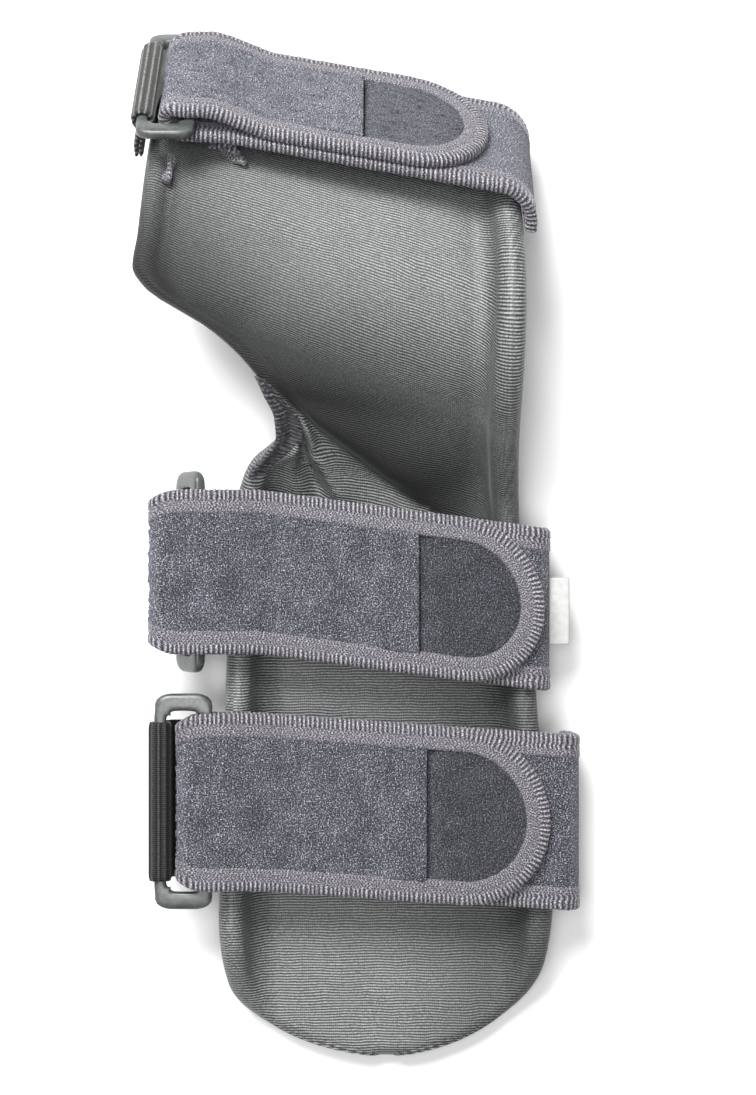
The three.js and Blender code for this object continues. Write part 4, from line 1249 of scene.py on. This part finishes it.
def addLabel():
    # A short folded tag: two layers joined at the outer fold, curled slightly along its length.
    low, high = (np.array(corner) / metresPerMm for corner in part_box("wrist_label"))
    middleY, middleZ = (low[1] + high[1]) / 2, (low[2] + high[2]) / 2
    low[0] -= labelForm["underStrap"]
    reach = high[0] - low[0]
    layer = 0.5 * (high[2] - low[2]) - labelForm["thickness"] / 2
    bend = layer * 0.98
    fold = roundedLine([(0.0, layer, 0), (reach, layer, bend), (reach, -layer, bend), (0.0, -layer, 0)], 8)
    distances, line, normal = evenly(fold, 0.25)
    half = labelForm["thickness"] / 2
    across = np.linspace(-labelForm["length"] / 2, labelForm["length"] / 2, labelForm["columns"])
    ring = np.concatenate([across, across[::-1]])
    side = np.repeat([half, -half], labelForm["columns"])
    curl = labelForm["curl"] * np.sin(np.pi * (ring / labelForm["length"] + 0.5))
    x = low[0] + line[:, None, 0] + normal[:, None, 0] * side
    z = middleZ + line[:, None, 1] + normal[:, None, 1] * side + curl * (line[:, None, 0] / reach)
    points = np.stack([x, middleY + np.broadcast_to(ring, x.shape), z], axis=-1)
    piece = meshFromGrid("wristLabel", points, sectionUv(np.append(ring, -12), distances), labelMaterial)
    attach(piece, rootBody)
    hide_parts("wrist_label")
    return piece


addLabel()
print("tag made")

# floor, light and camera

studio = {
    "paleColour": (0.90, 0.90, 0.90),
    "shadeColour": (0.891, 0.891, 0.891),
    "roughness": 0.9,
    "specular": 0.1,
    # power in watts and place in metres; both lamps are squares that look at the splint
    "lamps": {"keyLight": (21.0, (-0.30, 0.64, 0.90)), "topLight": (7.5, (-0.05, -0.05, 1.1))},
    "lampSize": 0.5,
    "worldStrength": 0.24,
    "sensorWidth": 36,  # mm
    "cameraHeight": 0.72,
    "cameraX": 0.0060,
    "cameraY": -0.00115,
    "frameLength": 0.342,  # metres that the long side of the picture spans at the splint's mean height
    "meanHeight": 0.025,
}


def addStudio():
    bpy.ops.mesh.primitive_plane_add(size=6, location=(0, 0, -0.0003))
    floor = bpy.context.active_object
    floor.name = "studioFloor"
    material, shader = newMaterial("studio_floor", studio)
    paint(material, shader, noise(material, objectCoordinates(material), 3.0), studio, (0.3, 0.7))
    floor.data.materials.append(material)
    world = bpy.data.worlds.new("studioWorld")
    bpy.context.scene.world = world
    world.use_nodes = True
    background = world.node_tree.nodes["Background"]
    background.inputs["Color"].default_value = (1, 1, 1, 1)
    background.inputs["Strength"].default_value = studio["worldStrength"]
    for name, (power, place) in studio["lamps"].items():
        data = bpy.data.lights.new(name, "AREA")
        data.shape = "RECTANGLE"
        data.size, data.size_y = studio["lampSize"], studio["lampSize"]
        data.energy = power
        light = bpy.data.objects.new(name, data)
        light.location = place
        aim = -light.location
        light.rotation_euler = aim.to_track_quat("-Z", "Y").to_euler()
        bpy.context.scene.collection.objects.link(light)


def addCamera():
    # Straight above the splint; the long side of the frame spans frameLength at the splint's mean height.
    data = bpy.data.cameras.new("viewCamera")
    distance = studio["cameraHeight"] - studio["meanHeight"]
    data.sensor_width = studio["sensorWidth"]
    data.lens = studio["sensorWidth"] * distance / studio["frameLength"]
    camera = bpy.data.objects.new("viewCamera", data)
    camera.location = (studio["cameraX"], studio["cameraY"], studio["cameraHeight"])
    bpy.context.scene.collection.objects.link(camera)
    bpy.context.scene.camera = camera


addStudio()
addCamera()
bpy.context.scene.view_settings.view_transform = "Standard"

print("scene ready")
